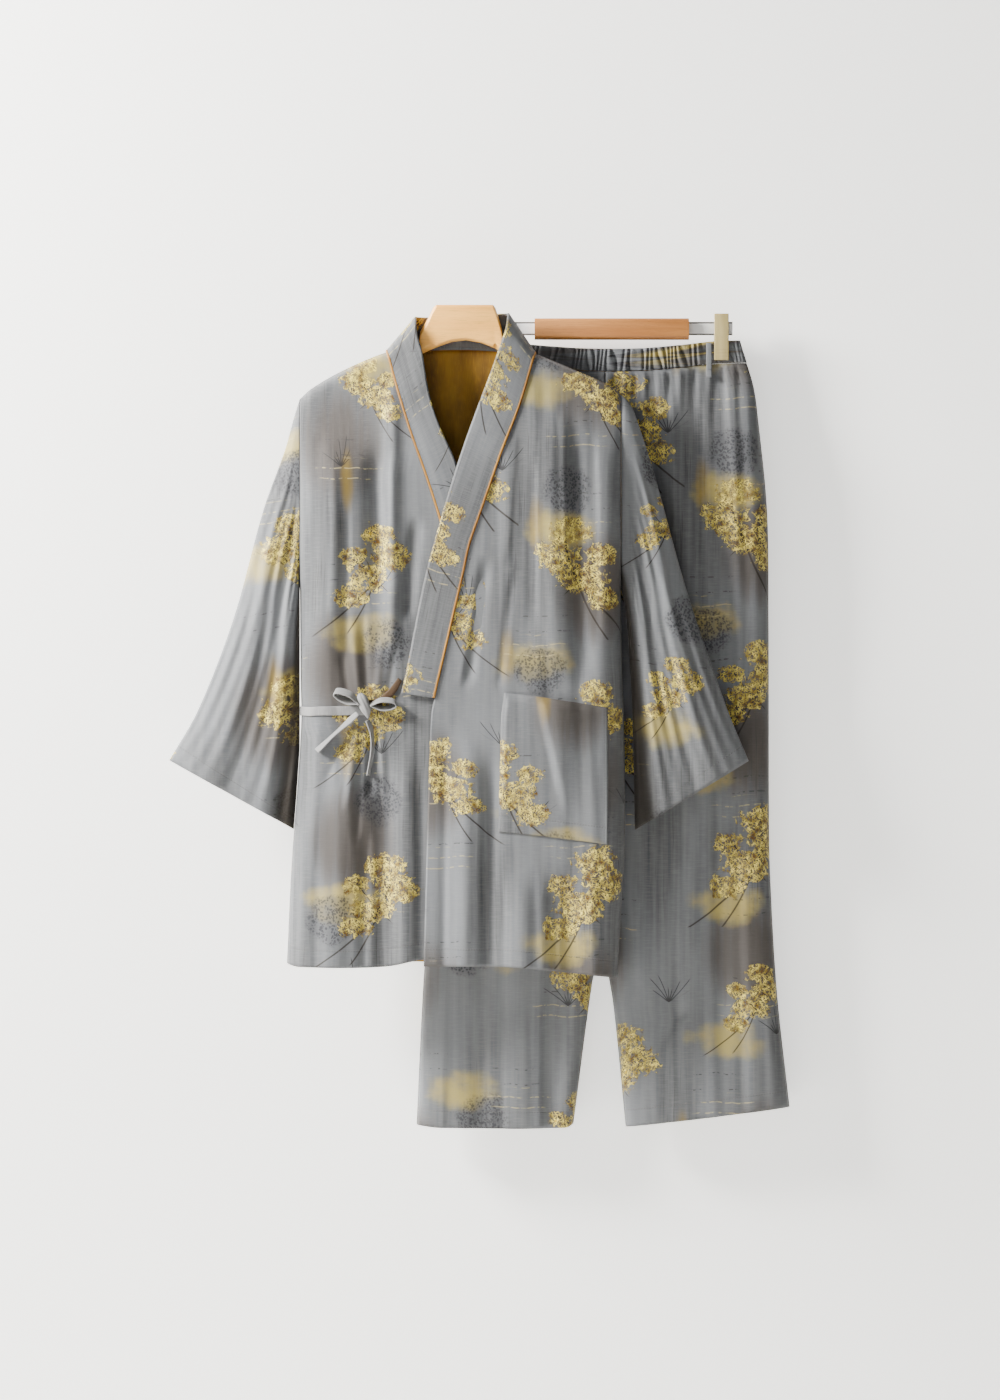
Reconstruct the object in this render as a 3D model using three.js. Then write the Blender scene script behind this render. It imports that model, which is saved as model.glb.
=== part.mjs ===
import * as THREE from "three";

// Kimono pyjama set: a wrap jacket on a wooden hanger and, close behind it, wide trousers clipped
// to a second hanger. Millimetres, +Z up, the front faces -Y. The origin is the middle of the flat
// top of the jacket's hanger.

// Driving dimensions
const clothThickness = 1.2;
const bandThickness = 2.0;
const tieThickness = 1.4;
const waistbandThickness = 1.8;
const seamGap = 0.3;
const shoulderRadius = 13;
const sideRadius = 30;
const armholeDepth = 15;
const cuffDepth = 17;
const cuffSetBack = 3;
const trouserPlane = 49.9;
const waistbandHeight = 28;
const gathersRound = 85;
const gatherHeight = 1.3;

// Jacket outline: x at each height for the sides and front edges, z along the shoulders and hems
const armholeLeft = -207.5;
const armholeRight = 193.5;
const underarm = -356;
const neckLeft = { x: -98.8, z: -58.8 };
const neckRight = { x: 86.2, z: -61.2 };
const leftFoot = { x: -223.8, z: -822.5 };
const rightFoot = { x: 189.4, z: -840 };
const underFoot = { x: 40, z: -816 };
const overFoot = { x: -52.5, z: -825 };
const shoulderRows = [
  { x: armholeLeft, z: -117.5 },
  { x: -193, z: -104.5 },
  { x: -155, z: -82.5 },
  neckLeft,
  { x: -6, z: -34 },
  neckRight,
  { x: 145, z: -85 },
  { x: 184, z: -103 },
  { x: armholeRight, z: -112.5 },
];
const backNeckRows = [neckLeft, { x: -6, z: -56 }, neckRight];
const leftSideRows = [
  { z: underarm, x: armholeLeft },
  { z: -470, x: -206.5 },
  { z: -520, x: -205.8 },
  { z: -600, x: -210.5 },
  { z: -700, x: -218 },
  leftFoot,
];
const rightSideRows = [
  { z: underarm, x: armholeRight },
  { z: -461, x: 195.6 },
  { z: -521, x: 197.5 },
  { z: -612, x: 199 },
  { z: -694, x: 198 },
  { z: -784, x: 192.5 },
  rightFoot,
];
const overFrontRows = [
  neckRight,
  { z: -126, x: 67.5 },
  { z: -188, x: 43.8 },
  { z: -255, x: 20.6 },
  { z: -300, x: 5 },
  { z: -334, x: -2.5 },
  { z: -409, x: -20 },
  { z: -490, x: -38.8 },
  { z: -512, x: -43 },
  { z: -591, x: -46.2 },
  overFoot,
];
const underFrontRows = [
  neckLeft,
  { z: -110, x: -85 },
  { z: -161, x: -69.2 },
  { z: -215, x: -50 },
  { z: -270, x: -32.5 },
  { z: -355, x: -10 },
  { z: -490, x: 26.2 },
  { z: -512, x: 29.2 },
  underFoot,
];
const overHemRows = [
  overFoot,
  { x: 54.5, z: -826 },
  { x: 126, z: -833 },
  rightFoot,
];
const underHemRows = [
  leftFoot,
  { x: -208, z: -826 },
  { x: -104, z: -826 },
  { x: -53, z: -817 },
  underFoot,
];
const backHemRows = [
  leftFoot,
  { x: -10, z: -823 },
  rightFoot,
];

// How far the jacket's front and back stand from its side seams, by height
const frontDepthRows = [
  { z: -60, out: 33 },
  { z: -300, out: 35 },
  { z: -510, out: 32 },
  { z: -660, out: 38 },
  { z: -830, out: 42 },
];
const backDepthRows = [
  { z: -60, out: 19 },
  { z: -300, out: 21 },
  { z: -830, out: 24 },
];
const fullDepthDrop = 150;

// Folds start this far from the sides and below the shoulders
const calmFromSide = 45;
const calmFromShoulder = 60;

// The right front's lift over the left one: it starts from an x, and grows towards the left
const wrapLift = { from: 165, over: 90, below: 55, out: 4.2 };

// The main folds: each runs from its top to its foot, a ridge stands out and a trough goes in
const frontFolds = [
  { name: "chest trough", xTop: -110, top: -165, xFoot: -107, foot: -375, width: 15, out: -5 },
  { name: "collar ridge", xTop: -91, top: -75, xFoot: -92, foot: -485, width: 10, out: 4 },
  { name: "arm ridge", xTop: -170, top: -140, xFoot: -180, foot: -485, width: 26, out: 3 },
  { name: "crossing trough", xTop: -62, top: -262, xFoot: -74, foot: -400, width: 8, out: -4 },
  { name: "knot trough", xTop: -117, top: -522, xFoot: -121, foot: -620, width: 6, out: -5 },
  { name: "skirt ridge 1", xTop: -149, top: -535, xFoot: -170, foot: -950, width: 18, out: 5 },
  { name: "skirt trough 1", xTop: -101, top: -540, xFoot: -104, foot: -950, width: 14, out: -5 },
  { name: "skirt ridge 2", xTop: -76, top: -525, xFoot: -72, foot: -950, width: 13, out: 4 },
  { name: "seam trough", xTop: 26, top: -310, xFoot: 0, foot: -485, width: 8, out: -3 },
  { name: "bust ridge", xTop: 102, top: -110, xFoot: 112, foot: -480, width: 18, out: 4 },
  { name: "bust trough", xTop: 138, top: -140, xFoot: 147, foot: -500, width: 12, out: -4 },
  { name: "skirt ridge 3", xTop: 5, top: -515, xFoot: -6, foot: -950, width: 16, out: 5 },
  { name: "skirt trough 2", xTop: 31, top: -545, xFoot: 26, foot: -950, width: 11, out: -4 },
  { name: "skirt ridge 4", xTop: 67, top: -690, xFoot: 73, foot: -1000, width: 18, out: 5 },
  { name: "skirt trough 3", xTop: 124, top: -695, xFoot: 134, foot: -1000, width: 16, out: -5 },
];
const backFolds = [
  { name: "left ridge", xTop: -150, top: -120, xFoot: -160, foot: -950, width: 24, out: 3 },
  { name: "left trough", xTop: -95, top: -160, xFoot: -104, foot: -950, width: 18, out: -3 },
  { name: "middle ridge", xTop: -40, top: -110, xFoot: -46, foot: -950, width: 22, out: 3 },
  { name: "middle trough", xTop: 20, top: -200, xFoot: 12, foot: -950, width: 18, out: -3 },
  { name: "right ridge", xTop: 84, top: -130, xFoot: 80, foot: -950, width: 24, out: 3 },
  { name: "right trough", xTop: 136, top: -240, xFoot: 142, foot: -950, width: 16, out: -3 },
];

// Collar band: its free edge by height on both sides, and how much higher that edge lies than the
// seam point across from it. The roll is how far it stands out at the neck, down to the roll's foot
const bandEnd = -493;
const freeLeftRows = [
  { z: -15.6, x: -62 },
  { z: -37.5, x: -60.5 },
  { z: -58.8, x: -54.5 },
  { z: -110, x: -46.2 },
  { z: -149, x: -34 },
  { z: -200, x: -11.7 },
  { z: -300, x: 15 },
  { z: -484, x: 68 },
];
const freeRightRows = [
  { z: -11, x: 52 },
  { z: -29, x: 49.5 },
  { z: -47.5, x: 43.5 },
  { z: -91, x: 28.5 },
  { z: -134, x: 12.5 },
  { z: -200, x: -10.6 },
  { z: -278, x: -34 },
  { z: -345, x: -51.9 },
  { z: -462, x: -75 },
  { z: -484, x: -80.5 },
];
const bandRiseRows = [
  { z: -58, rise: 44 },
  { z: -75, rise: 38 },
  { z: -110, rise: 31 },
  { z: -255, rise: 18 },
  { z: -490, rise: 6 },
];
const neckRollRows = [
  { z: -12, out: 0 },
  { z: -24, out: 12 },
  { z: -38, out: 16.5 },
  { z: -60, out: 19.5 },
  { z: -110, out: 22 },
  { z: -160, out: 20 },
];
const neckRollFoot = -160;
const neckRollFade = 40;
const backCollarLean = 13.6;
const bandStart = 0.012;
const piping = { width: 2.8, height: 1.2, lift: 0.5, slope: 0.5 };

// Sleeves: the outer and inner edges in front view, by height, from the armhole down to the cuff
const leftSleeve = {
  name: "sleeve_left",
  armhole: armholeLeft,
  outward: -1,
  outer: [
    { z: -117.5, x: armholeLeft },
    { z: -145, x: -215.8 },
    { z: -180, x: -225.5 },
    { z: -256, x: -252.8 },
    { z: -391, x: -290 },
    { z: -506, x: -334.5 },
    { z: -569, x: -370.5 },
  ],
  inner: [
    { z: underarm, x: armholeLeft },
    { z: -384, x: -211.2 },
    { z: -519, x: -213.3 },
    { z: -655, x: -218 },
  ],
};
const rightSleeve = {
  name: "sleeve_right",
  armhole: armholeRight,
  outward: 1,
  outer: [
    { z: -112.5, x: armholeRight },
    { z: -120, x: 202 },
    { z: -131, x: 208.5 },
    { z: -160, x: 218.8 },
    { z: -219, x: 237.2 },
    { z: -355, x: 275 },
    { z: -498, x: 323.5 },
    { z: -570, x: 353 },
  ],
  inner: [
    { z: underarm, x: armholeRight },
    { z: -384, x: 198.8 },
    { z: -444, x: 203.8 },
    { z: -519, x: 207.5 },
    { z: -656, x: 210.6 },
  ],
};
const sleeveFolds = [
  { name: "elbow ridge", at: 0.35, width: 0.22, out: 3 },
  { name: "middle trough", at: -0.05, width: 0.16, out: -2.5 },
  { name: "under ridge", at: -0.4, width: 0.16, out: 2.5 },
  { name: "body trough", at: -0.74, width: 0.14, out: -4 },
];

const sleeveDown = [0, 0.035, 0.09, 0.17, 0.27, 0.38, 0.5, 0.62, 0.74, 0.87, 1];
const sleeveAround = 24;

// Patch pocket and tie on the jacket's front, with the grid lines that they follow
const tieTopLine = 0.545;
const tieFootLine = 0.561;
const tieEndLine = 0.34;
const pocketLeftLine = 0.36;
const pocketRightLine = 0.91;
const pocketTopLine = 0.545;
const pocketFootLine = 0.777;
const pocketGape = 8;
const tieWidth = 10;

// The bow: its knot, its loops, and the strap and tails with their clearance at both ends
const knot = { x: -126, z: -501, halfWidth: 7.5, halfHeight: 16, halfDepth: 5.5, gap: 0.4 };
const knotSections = [-1, -0.8, -0.4, 0, 0.4, 0.8, 1];
const knotAround = 10;
const loopWidth = 8;
const loopAround = 18;
const bowLoops = [
  { name: "bow_loop_right", x: -102.5, z: -499, halfLength: 15.6, halfHeight: 8.5, turn: 0.03 },
  { name: "bow_loop_left", x: -149, z: -490, halfLength: 17, halfHeight: 5, turn: -0.47 },
];
const tailClear = { start: 5.2, end: 3.6 };
const tieStrap = {
  clear: { start: 0.7, end: 2 },
  points: [
    { x: -84, z: -487 },
    { x: -101, z: -492 },
    { x: -120.9, z: -497 },
  ],
};
const bowTails = [
  {
    name: "bow_tail_left",
    points: [
      { x: -134.6, z: -510 },
      { x: -148, z: -522 },
      { x: -166, z: -538 },
      { x: -185, z: -556 },
    ],
  },
  {
    name: "bow_tail_right",
    points: [
      { x: -124.5, z: -517.6 },
      { x: -118, z: -533 },
      { x: -115.5, z: -556 },
      { x: -117, z: -586 },
    ],
  },
];

// Jacket hanger: a flat-topped neck block with two arms that fall away under the shoulders
const blockCorner = 3;
const armCorner = 6.5;
const hangerRows = [
  { x: -189, top: -108, foot: -117, half: 3 },
  { x: -184, top: -103.1, foot: -120, half: 5.5 },
  { x: -155, top: -84.8, foot: -106, half: 8.5 },
  { x: -125, top: -71.4, foot: -97, half: 9 },
  { x: -99, top: -61.6, foot: -88, half: 9 },
  { x: -80, top: -57.5, foot: -77, half: 9 },
  { x: -66, top: -52.5, foot: -67, half: 9 },
  { x: -59.5, top: -46, foot: -63, half: 9 },
  { x: -57, top: -32.5, foot: -61.5, half: 9 },
  { x: -52, top: -24.5, foot: -60, half: 9 },
  { x: -46.2, top: -15, foot: -57, half: 9 },
  { x: -41.5, top: -4, foot: -55, half: 8.5 },
  { x: -37, top: 0, foot: -53, half: 8.5 },
  { x: -18, top: 0, foot: -46, half: 8.5 },
  { x: 0, top: 0, foot: -44, half: 8.5 },
  { x: 18, top: 0, foot: -47, half: 8.5 },
  { x: 34, top: 0, foot: -53, half: 8.5 },
  { x: 37, top: -4, foot: -54.5, half: 8.5 },
  { x: 40.5, top: -15, foot: -57, half: 9 },
  { x: 44.5, top: -28, foot: -61, half: 9 },
  { x: 47, top: -46, foot: -63.5, half: 9 },
  { x: 54, top: -54, foot: -67, half: 9 },
  { x: 68, top: -60, foot: -76, half: 9 },
  { x: 86, top: -64, foot: -87, half: 9 },
  { x: 117, top: -75.5, foot: -98, half: 9 },
  { x: 145, top: -87.4, foot: -107, half: 8.5 },
  { x: 178, top: -103.3, foot: -120, half: 5.5 },
  { x: 183, top: -108.5, foot: -118, half: 3 },
];

// Trousers: outer and inner edges by height, waist and hems across, on their own middle line
const waistMiddle = 181.6;
const crotch = -356;
const crotchRound = 60;
const crotchLine = 0.29;
const legRadius = 22;
const riseSeam = 175;
const waistHalfRows = [
  { drop: 0, half: 163 },
  { drop: 14, half: 166.5 },
  { drop: 28, half: 171 },
];
const waistTopRows = [
  { x: 18.6, z: -41.5 },
  { x: 42, z: -42.5 },
  { x: 92, z: -48 },
  { x: 150, z: -52 },
  { x: 215, z: -52 },
  { x: 266, z: -48 },
  { x: 309, z: -43 },
  { x: 344.6, z: -41.5 },
];
const waistDepthRows = [
  { q: 0, out: 12 },
  { q: 0.45, out: 10.5 },
  { q: 0.76, out: 3.6 },
  { q: 0.92, out: 3.4 },
  { q: 1, out: 3 },
];
const trouserDepthRows = [
  { z: -80, out: 18 },
  { z: -330, out: 21 },
  { z: -600, out: 20 },
  { z: -1030, out: 17 },
];
const trouserFullDrop = 130;
const trouserCalm = { fromOuter: 40, fromInner: 30, fromWaist: 60 };
const rightLeg = {
  side: 1,
  outer: [
    { z: -69, x: 352.6 },
    { z: -101, x: 361.8 },
    { z: -137, x: 366.9 },
    { z: -256, x: 378.5 },
    { z: -394, x: 380.4 },
    { z: -644, x: 381 },
    { z: -716, x: 382.5 },
    { z: -859, x: 390.8 },
    { z: -1005, x: 406.8 },
  ],
  inner: [
    { z: crotch, x: 176.3 },
    { z: -694, x: 172.6 },
    { z: -800, x: 173.2 },
    { z: -878, x: 185 },
    { z: -1030, x: 200.5 },
  ],
  hem: [
    { x: 200.5, z: -1030 },
    { x: 292, z: -1020 },
    { x: 406.8, z: -1005 },
  ],
};
const leftLeg = {
  side: -1,
  outer: [
    { z: -69, x: 10.6 },
    { z: -101, x: 1 },
    { z: -137, x: -4.4 },
    { z: -256, x: -16.2 },
    { z: -394, x: -21.9 },
    { z: -548, x: -30.6 },
    { z: -694, x: -40 },
    { z: -828, x: -52.5 },
    { z: -1027.5, x: -62.5 },
  ],
  inner: [
    { z: crotch, x: 173.7 },
    { z: -694, x: 170 },
    { z: -800, x: 169.4 },
    { z: -848, x: 158.8 },
    { z: -1026, x: 135 },
  ],
  hem: [
    { x: -62.5, z: -1027.5 },
    { x: -32, z: -1031 },
    { x: 125, z: -1031 },
    { x: 135, z: -1026 },
  ],
};
const trouserFolds = [
  { name: "right inner trough", xTop: 232, top: -150, xFoot: 246, foot: -800, width: 16, out: -4 },
  { name: "right middle ridge", xTop: 276, top: -120, xFoot: 284, foot: -900, width: 20, out: 4 },
  { name: "right outer trough", xTop: 322, top: -200, xFoot: 318, foot: -1000, width: 14, out: -3 },
  { name: "right hem ridge", xTop: 350, top: -700, xFoot: 366, foot: -1200, width: 18, out: 3 },
  { name: "left inner trough", xTop: 122, top: -150, xFoot: 104, foot: -1200, width: 16, out: -4 },
  { name: "left middle ridge", xTop: 76, top: -120, xFoot: 66, foot: -1200, width: 20, out: 4 },
  { name: "left outer trough", xTop: 30, top: -300, xFoot: 18, foot: -1200, width: 14, out: -3 },
];
const pleat = { pitch: 25, height: 1.8, fade: 60, fromOuter: 20, fromWaist: 12 };

// The waistband's gathers by height, and how much lower they are under the clips
const gatherRows = [
  { drop: 0, swell: 0.8 },
  { drop: waistbandHeight / 2, swell: 1.15 },
  { drop: waistbandHeight, swell: 0.8 },
];
const clipPinch = { from: 0.7, over: 0.1, loss: 0.55 };

// Trouser hanger: a wooden grip on a flat bar, and two clips that hang on the bar
const grip = { left: 86, right: 280, top: -14, foot: -40.5, half: 11, round: 5 };
const bar = { left: 28.5, right: 335, top: -18.2, foot: -35, half: 1.5, round: 0.4 };
const clip = { width: 18.2, top: -8, foot: -66.6, gap: 4.75, wall: 2.6 };
const clipMiddles = [
  { name: "clip_left", x: 42.2 },
  { name: "clip_right", x: 320.9 },
];

// Hanging loop on the waistband: it hangs straight and stands off at its foot
const strap = { x: 305.2, width: 6.8, waistShare: 0.72 };
const strapRows = [
  { z: -45, out: 0 },
  { z: -62, out: 0 },
  { z: -80, out: 0 },
  { z: -88.5, out: 3 },
];

// Grid lines over the panels, as shares of the way across and down
const bodyDown = [
  0, 0.0025, 0.0092, 0.0185, 0.04, 0.075, 0.12, 0.18, 0.24, 0.3, 0.335, 0.39, 0.46, 0.51,
  tieTopLine, tieFootLine, 0.62, 0.69, pocketFootLine, 0.86, 0.93, 1,
];
const underAcross = [
  0, 0.01, 0.037, 0.078, 0.127, 0.19, 0.26, tieEndLine, 0.4, 0.46, 0.53, 0.6, 0.68, 0.76, 0.84,
  0.92, 1,
];
const overAcross = [
  0, 0.07, 0.14, 0.21, 0.28, pocketLeftLine, 0.43, 0.5, 0.57, 0.64, 0.71, 0.78, 0.85,
  pocketRightLine, 0.96, 0.99, 1,
];

// The heights that the left front's free edge reaches at its grid lines, so that the tie lies level
const underDownRows = [
  { v: 0, z: neckLeft.z },
  { v: tieTopLine, z: -498 },
  { v: 1, z: underFoot.z },
];
const neckLeftLine = (neckLeft.x - armholeLeft) / (armholeRight - armholeLeft);
const neckRightLine = (neckRight.x - armholeLeft) / (armholeRight - armholeLeft);
const backAcross = [
  0, 0.006, 0.022, 0.046, 0.075, 0.13, 0.2, neckLeftLine, 0.31, 0.36, 0.42, 0.48, 0.54, 0.6,
  0.65, 0.69, neckRightLine, 0.8, 0.87, 0.925, 0.954, 0.978, 0.994, 1,
];
const legAcross = [0, 0.012, 0.045, 0.1, 0.18, 0.28, 0.38, 0.5, 0.62, 0.74, 0.86, 0.955, 1];
const legDown = [
  0, 0.02, 0.05, 0.1, 0.17, 0.235, 0.268, 0.285, crotchLine, 0.36, 0.46, 0.58, 0.7, 0.8, 0.9, 1,
];

const clamp = (value, low, high) => Math.min(Math.max(value, low), high);
const mix = (a, b, share) => a + (b - a) * share;

// Rises from 0 to 1 with a soft start and a soft end
function smooth(share) {
  const s = clamp(share, 0, 1);
  return s * s * (3 - 2 * s);
}

// A quarter circle: 0 at the seam, 1 where the cloth has turned to lie flat
function roundOff(share) {
  const s = 1 - clamp(share, 0, 1);
  return Math.sqrt(1 - s * s);
}

// A smooth function through the rows of a table, from one named column to another
function profile(rows, from, to) {
  const at = rows.map((row) => row[from]);
  const value = rows.map((row) => row[to]);
  const slope = value.map((_, i) => {
    const a = Math.max(i - 1, 0);
    const b = Math.min(i + 1, rows.length - 1);
    return (value[b] - value[a]) / (at[b] - at[a]);
  });
  const way = Math.sign(at[at.length - 1] - at[0]);
  return (place) => {
    let i = 0;
    while (i < rows.length - 2 && (place - at[i + 1]) * way > 0) i += 1;
    const span = at[i + 1] - at[i];
    const s = clamp((place - at[i]) / span, 0, 1);
    const rise = value[i + 1] - value[i];
    const a = slope[i] * span - rise;
    const b = rise - slope[i + 1] * span;
    return value[i] + rise * s + s * (1 - s) * (a * (1 - s) + b * s);
  };
}

const shoulder = profile(shoulderRows, "x", "z");
const backNeck = profile(backNeckRows, "x", "z");
const leftSideBelow = profile(leftSideRows, "z", "x");
const rightSideBelow = profile(rightSideRows, "z", "x");
const leftSide = (z) => (z > underarm ? armholeLeft : leftSideBelow(z));
const rightSide = (z) => (z > underarm ? armholeRight : rightSideBelow(z));
const overFront = profile(overFrontRows, "z", "x");
const underFront = profile(underFrontRows, "z", "x");
const frontDepth = profile(frontDepthRows, "z", "out");
const backDepth = profile(backDepthRows, "z", "out");
const freeLeft = profile(freeLeftRows, "z", "x");
const freeRight = profile(freeRightRows, "z", "x");
const bandRise = profile(bandRiseRows, "z", "rise");
const neckRoll = profile(neckRollRows, "z", "out");
const waistTop = profile(waistTopRows, "x", "z");
const waistHalf = profile(waistHalfRows, "drop", "half");
const waistDepth = profile(waistDepthRows, "q", "out");
const trouserDepth = profile(trouserDepthRows, "z", "out");

// Half the depth of a sleeve's flat oval at a share of its height, 1 at the top and -1 underneath
function ovalDepth(half, share) {
  return half * Math.sqrt(Math.max(1 - Math.abs(share) ** 3, 0));
}

// Half the depth of the armhole at a height, nothing below the underarm
function armholeHalf(z, tip) {
  if (z <= underarm) return 0;
  const middle = (tip + underarm) / 2;
  return ovalDepth(armholeDepth, clamp((z - middle) / (tip - middle), -1, 1));
}

// The height of all the folds of a table at one place
function foldHeight(folds, x, z) {
  let total = 0;
  for (const fold of folds) {
    const share = (z - fold.top) / (fold.foot - fold.top);
    const line = mix(fold.xTop, fold.xFoot, share);
    const fade = smooth(share / 0.2) * smooth((1 - share) / 0.2);
    total += fold.out * fade * Math.exp(-(((x - line) / fold.width) ** 2));
  }
  return total;
}

// How far the jacket's body stands out from its side seams, at a place seen from the front
function bodyDepth(x, z, depth, folds) {
  const fromLeft = x - leftSide(z);
  const fromRight = rightSide(z) - x;
  const drop = shoulder(x) - z;
  const tip = fromLeft < fromRight ? shoulderRows[0].z : shoulderRows.at(-1).z;
  const seam = armholeHalf(z, tip);
  const grow = (depth(z) - shoulderRadius) * smooth(drop / fullDepthDrop);
  const hang = shoulderRadius * roundOff(drop / shoulderRadius) + grow;
  const edge = Math.min(fromLeft, fromRight);
  const calm = smooth(edge / calmFromSide) * smooth(drop / calmFromShoulder);
  return seam + (hang - seam) * roundOff(edge / sideRadius) + calm * foldHeight(folds, x, z);
}

const frontStand = (x, z) => bodyDepth(x, z, frontDepth, frontFolds);
const backStand = (x, z) => bodyDepth(x, z, backDepth, backFolds);

// The right front lies over the left one, so it stands further out where they cross
function wrapOver(x, z) {
  const across = smooth((wrapLift.from - x) / wrapLift.over);
  const below = smooth((shoulder(x) - z) / wrapLift.below);
  return wrapLift.out * across * below;
}

// Points of a four-sided panel between its left and right edges and its top and bottom lines
function panelPoints({ left, right, top, bottom, across, down, depth }) {
  const [topLeft, topRight] = [left(0), right(0)];
  const [bottomLeft, bottomRight] = [left(1), right(1)];
  return down.map((v) => across.map((u) => {
    const [l, r, t, b] = [left(v), right(v), top(u), bottom(u)];
    const at = (axis) => mix(l[axis], r[axis], u) + mix(t[axis], b[axis], v)
      - mix(mix(topLeft[axis], topRight[axis], u), mix(bottomLeft[axis], bottomRight[axis], u), v);
    const x = at("x");
    const z = at("z");
    return new THREE.Vector3(x, depth(x, z), z);
  }));
}

// The direction square to the rows of points at one of them
function normalAt(rows, j, i, ring) {
  const row = rows[j];
  const count = row.length;
  const next = ring ? row[(i + 1) % count] : row[Math.min(i + 1, count - 1)];
  const before = ring ? row[(i + count - 1) % count] : row[Math.max(i - 1, 0)];
  const below = rows[Math.min(j + 1, rows.length - 1)][i];
  const above = rows[Math.max(j - 1, 0)][i];
  const across = next.clone().sub(before);
  return across.cross(below.clone().sub(above)).normalize();
}

// The rows of points moved out of the cloth by a distance
function movedOut(rows, distance, outward, ring = false) {
  const middle = Math.floor(rows.length / 2);
  const column = ring ? 0 : Math.floor(rows[0].length / 2);
  const point = rows[middle][column];
  const sign = Math.sign(normalAt(rows, middle, column, ring).dot(outward(point))) || 1;
  return rows.map((row, j) => row.map((p, i) => (
    p.clone().addScaledVector(normalAt(rows, j, i, ring), sign * distance)
  )));
}

function geometryFrom(points, index) {
  const geometry = new THREE.BufferGeometry();
  geometry.setAttribute("position", new THREE.Float32BufferAttribute(
    points.flatMap((p) => [p.x, p.y, p.z]), 3));
  let volume = 0;
  for (let k = 0; k < index.length; k += 3) {
    const [a, b, c] = [points[index[k]], points[index[k + 1]], points[index[k + 2]]];
    volume += a.dot(b.clone().cross(c));
  }
  geometry.setIndex(volume < 0 ? index.reverse() : index);
  return geometry;
}

// A closed wall of cloth: the outer points, the same points moved in, and the rims between them
function wall(rows, thickness, outward, { ring = false, keep = (p) => p } = {}) {
  const outer = rows.flat().map(keep);
  const inner = movedOut(rows, -thickness, outward, ring).flat().map(keep);
  const count = rows[0].length;
  const cells = ring ? count : count - 1;
  const back = outer.length;
  const foot = rows.length - 1;
  const at = (j, i) => j * count + (i % count);
  const index = [];
  const face = (a, b, c, d) => index.push(a, b, c, a, c, d);
  for (let i = 0; i < cells; i += 1) {
    for (let j = 0; j < foot; j += 1) {
      face(at(j, i), at(j, i + 1), at(j + 1, i + 1), at(j + 1, i));
      face(back + at(j, i), back + at(j + 1, i), back + at(j + 1, i + 1), back + at(j, i + 1));
    }
    face(at(0, i + 1), at(0, i), back + at(0, i), back + at(0, i + 1));
    face(at(foot, i), at(foot, i + 1), back + at(foot, i + 1), back + at(foot, i));
  }
  for (let j = 0; j < foot && !ring; j += 1) {
    face(at(j, 0), at(j + 1, 0), back + at(j + 1, 0), back + at(j, 0));
    face(at(j + 1, cells), at(j, cells), back + at(j, cells), back + at(j + 1, cells));
  }
  return geometryFrom([...outer, ...inner], index);
}

// A solid through a row of closed sections, with flat ends
function loft(sections) {
  const count = sections[0].length;
  const points = sections.flat();
  const index = [];
  for (let j = 0; j < sections.length - 1; j += 1) {
    for (let i = 0; i < count; i += 1) {
      const a = j * count + i;
      const b = j * count + ((i + 1) % count);
      index.push(a, b, b + count, a, b + count, a + count);
    }
  }
  const last = (sections.length - 1) * count;
  for (let i = 1; i < count - 1; i += 1) {
    index.push(0, i + 1, i, last, last + i, last + i + 1);
  }
  return geometryFrom(points, index);
}

const forward = () => new THREE.Vector3(0, -1, 0);
const backward = () => new THREE.Vector3(0, 1, 0);
const inFront = (plane) => (p) => new THREE.Vector3(p.x, Math.min(p.y, plane - seamGap / 2), p.z);
const behind = (plane) => (p) => new THREE.Vector3(p.x, Math.max(p.y, plane + seamGap / 2), p.z);

// Points of the left front, which goes under, and of the right front, which goes over
function underPoints() {
  const downEdge = profile(underDownRows, "v", "z");
  const hem = profile(underHemRows, "x", "z");
  const side = (v) => mix(shoulderRows[0].z, leftFoot.z, v);
  const top = (u) => mix(armholeLeft, neckLeft.x, u);
  const foot = (u) => mix(leftFoot.x, underFoot.x, u);
  return panelPoints({
    left: (v) => ({ x: leftSide(side(v)), z: side(v) }),
    right: (v) => ({ x: underFront(downEdge(v)), z: downEdge(v) }),
    top: (u) => ({ x: top(u), z: shoulder(top(u)) }),
    bottom: (u) => ({ x: foot(u), z: hem(foot(u)) }),
    across: underAcross,
    down: bodyDown,
    depth: (x, z) => -frontStand(x, z),
  });
}

function overPoints() {
  const hem = profile(overHemRows, "x", "z");
  const edge = (v) => mix(neckRight.z, overFoot.z, v);
  const side = (v) => mix(shoulderRows.at(-1).z, rightFoot.z, v);
  const top = (u) => mix(neckRight.x, armholeRight, u);
  const foot = (u) => mix(overFoot.x, rightFoot.x, u);
  return panelPoints({
    left: (v) => ({ x: overFront(edge(v)), z: edge(v) }),
    right: (v) => ({ x: rightSide(side(v)), z: side(v) }),
    top: (u) => ({ x: top(u), z: shoulder(top(u)) }),
    bottom: (u) => ({ x: foot(u), z: hem(foot(u)) }),
    across: overAcross,
    down: bodyDown,
    depth: (x, z) => -(frontStand(x, z) + wrapOver(x, z)),
  });
}

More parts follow.
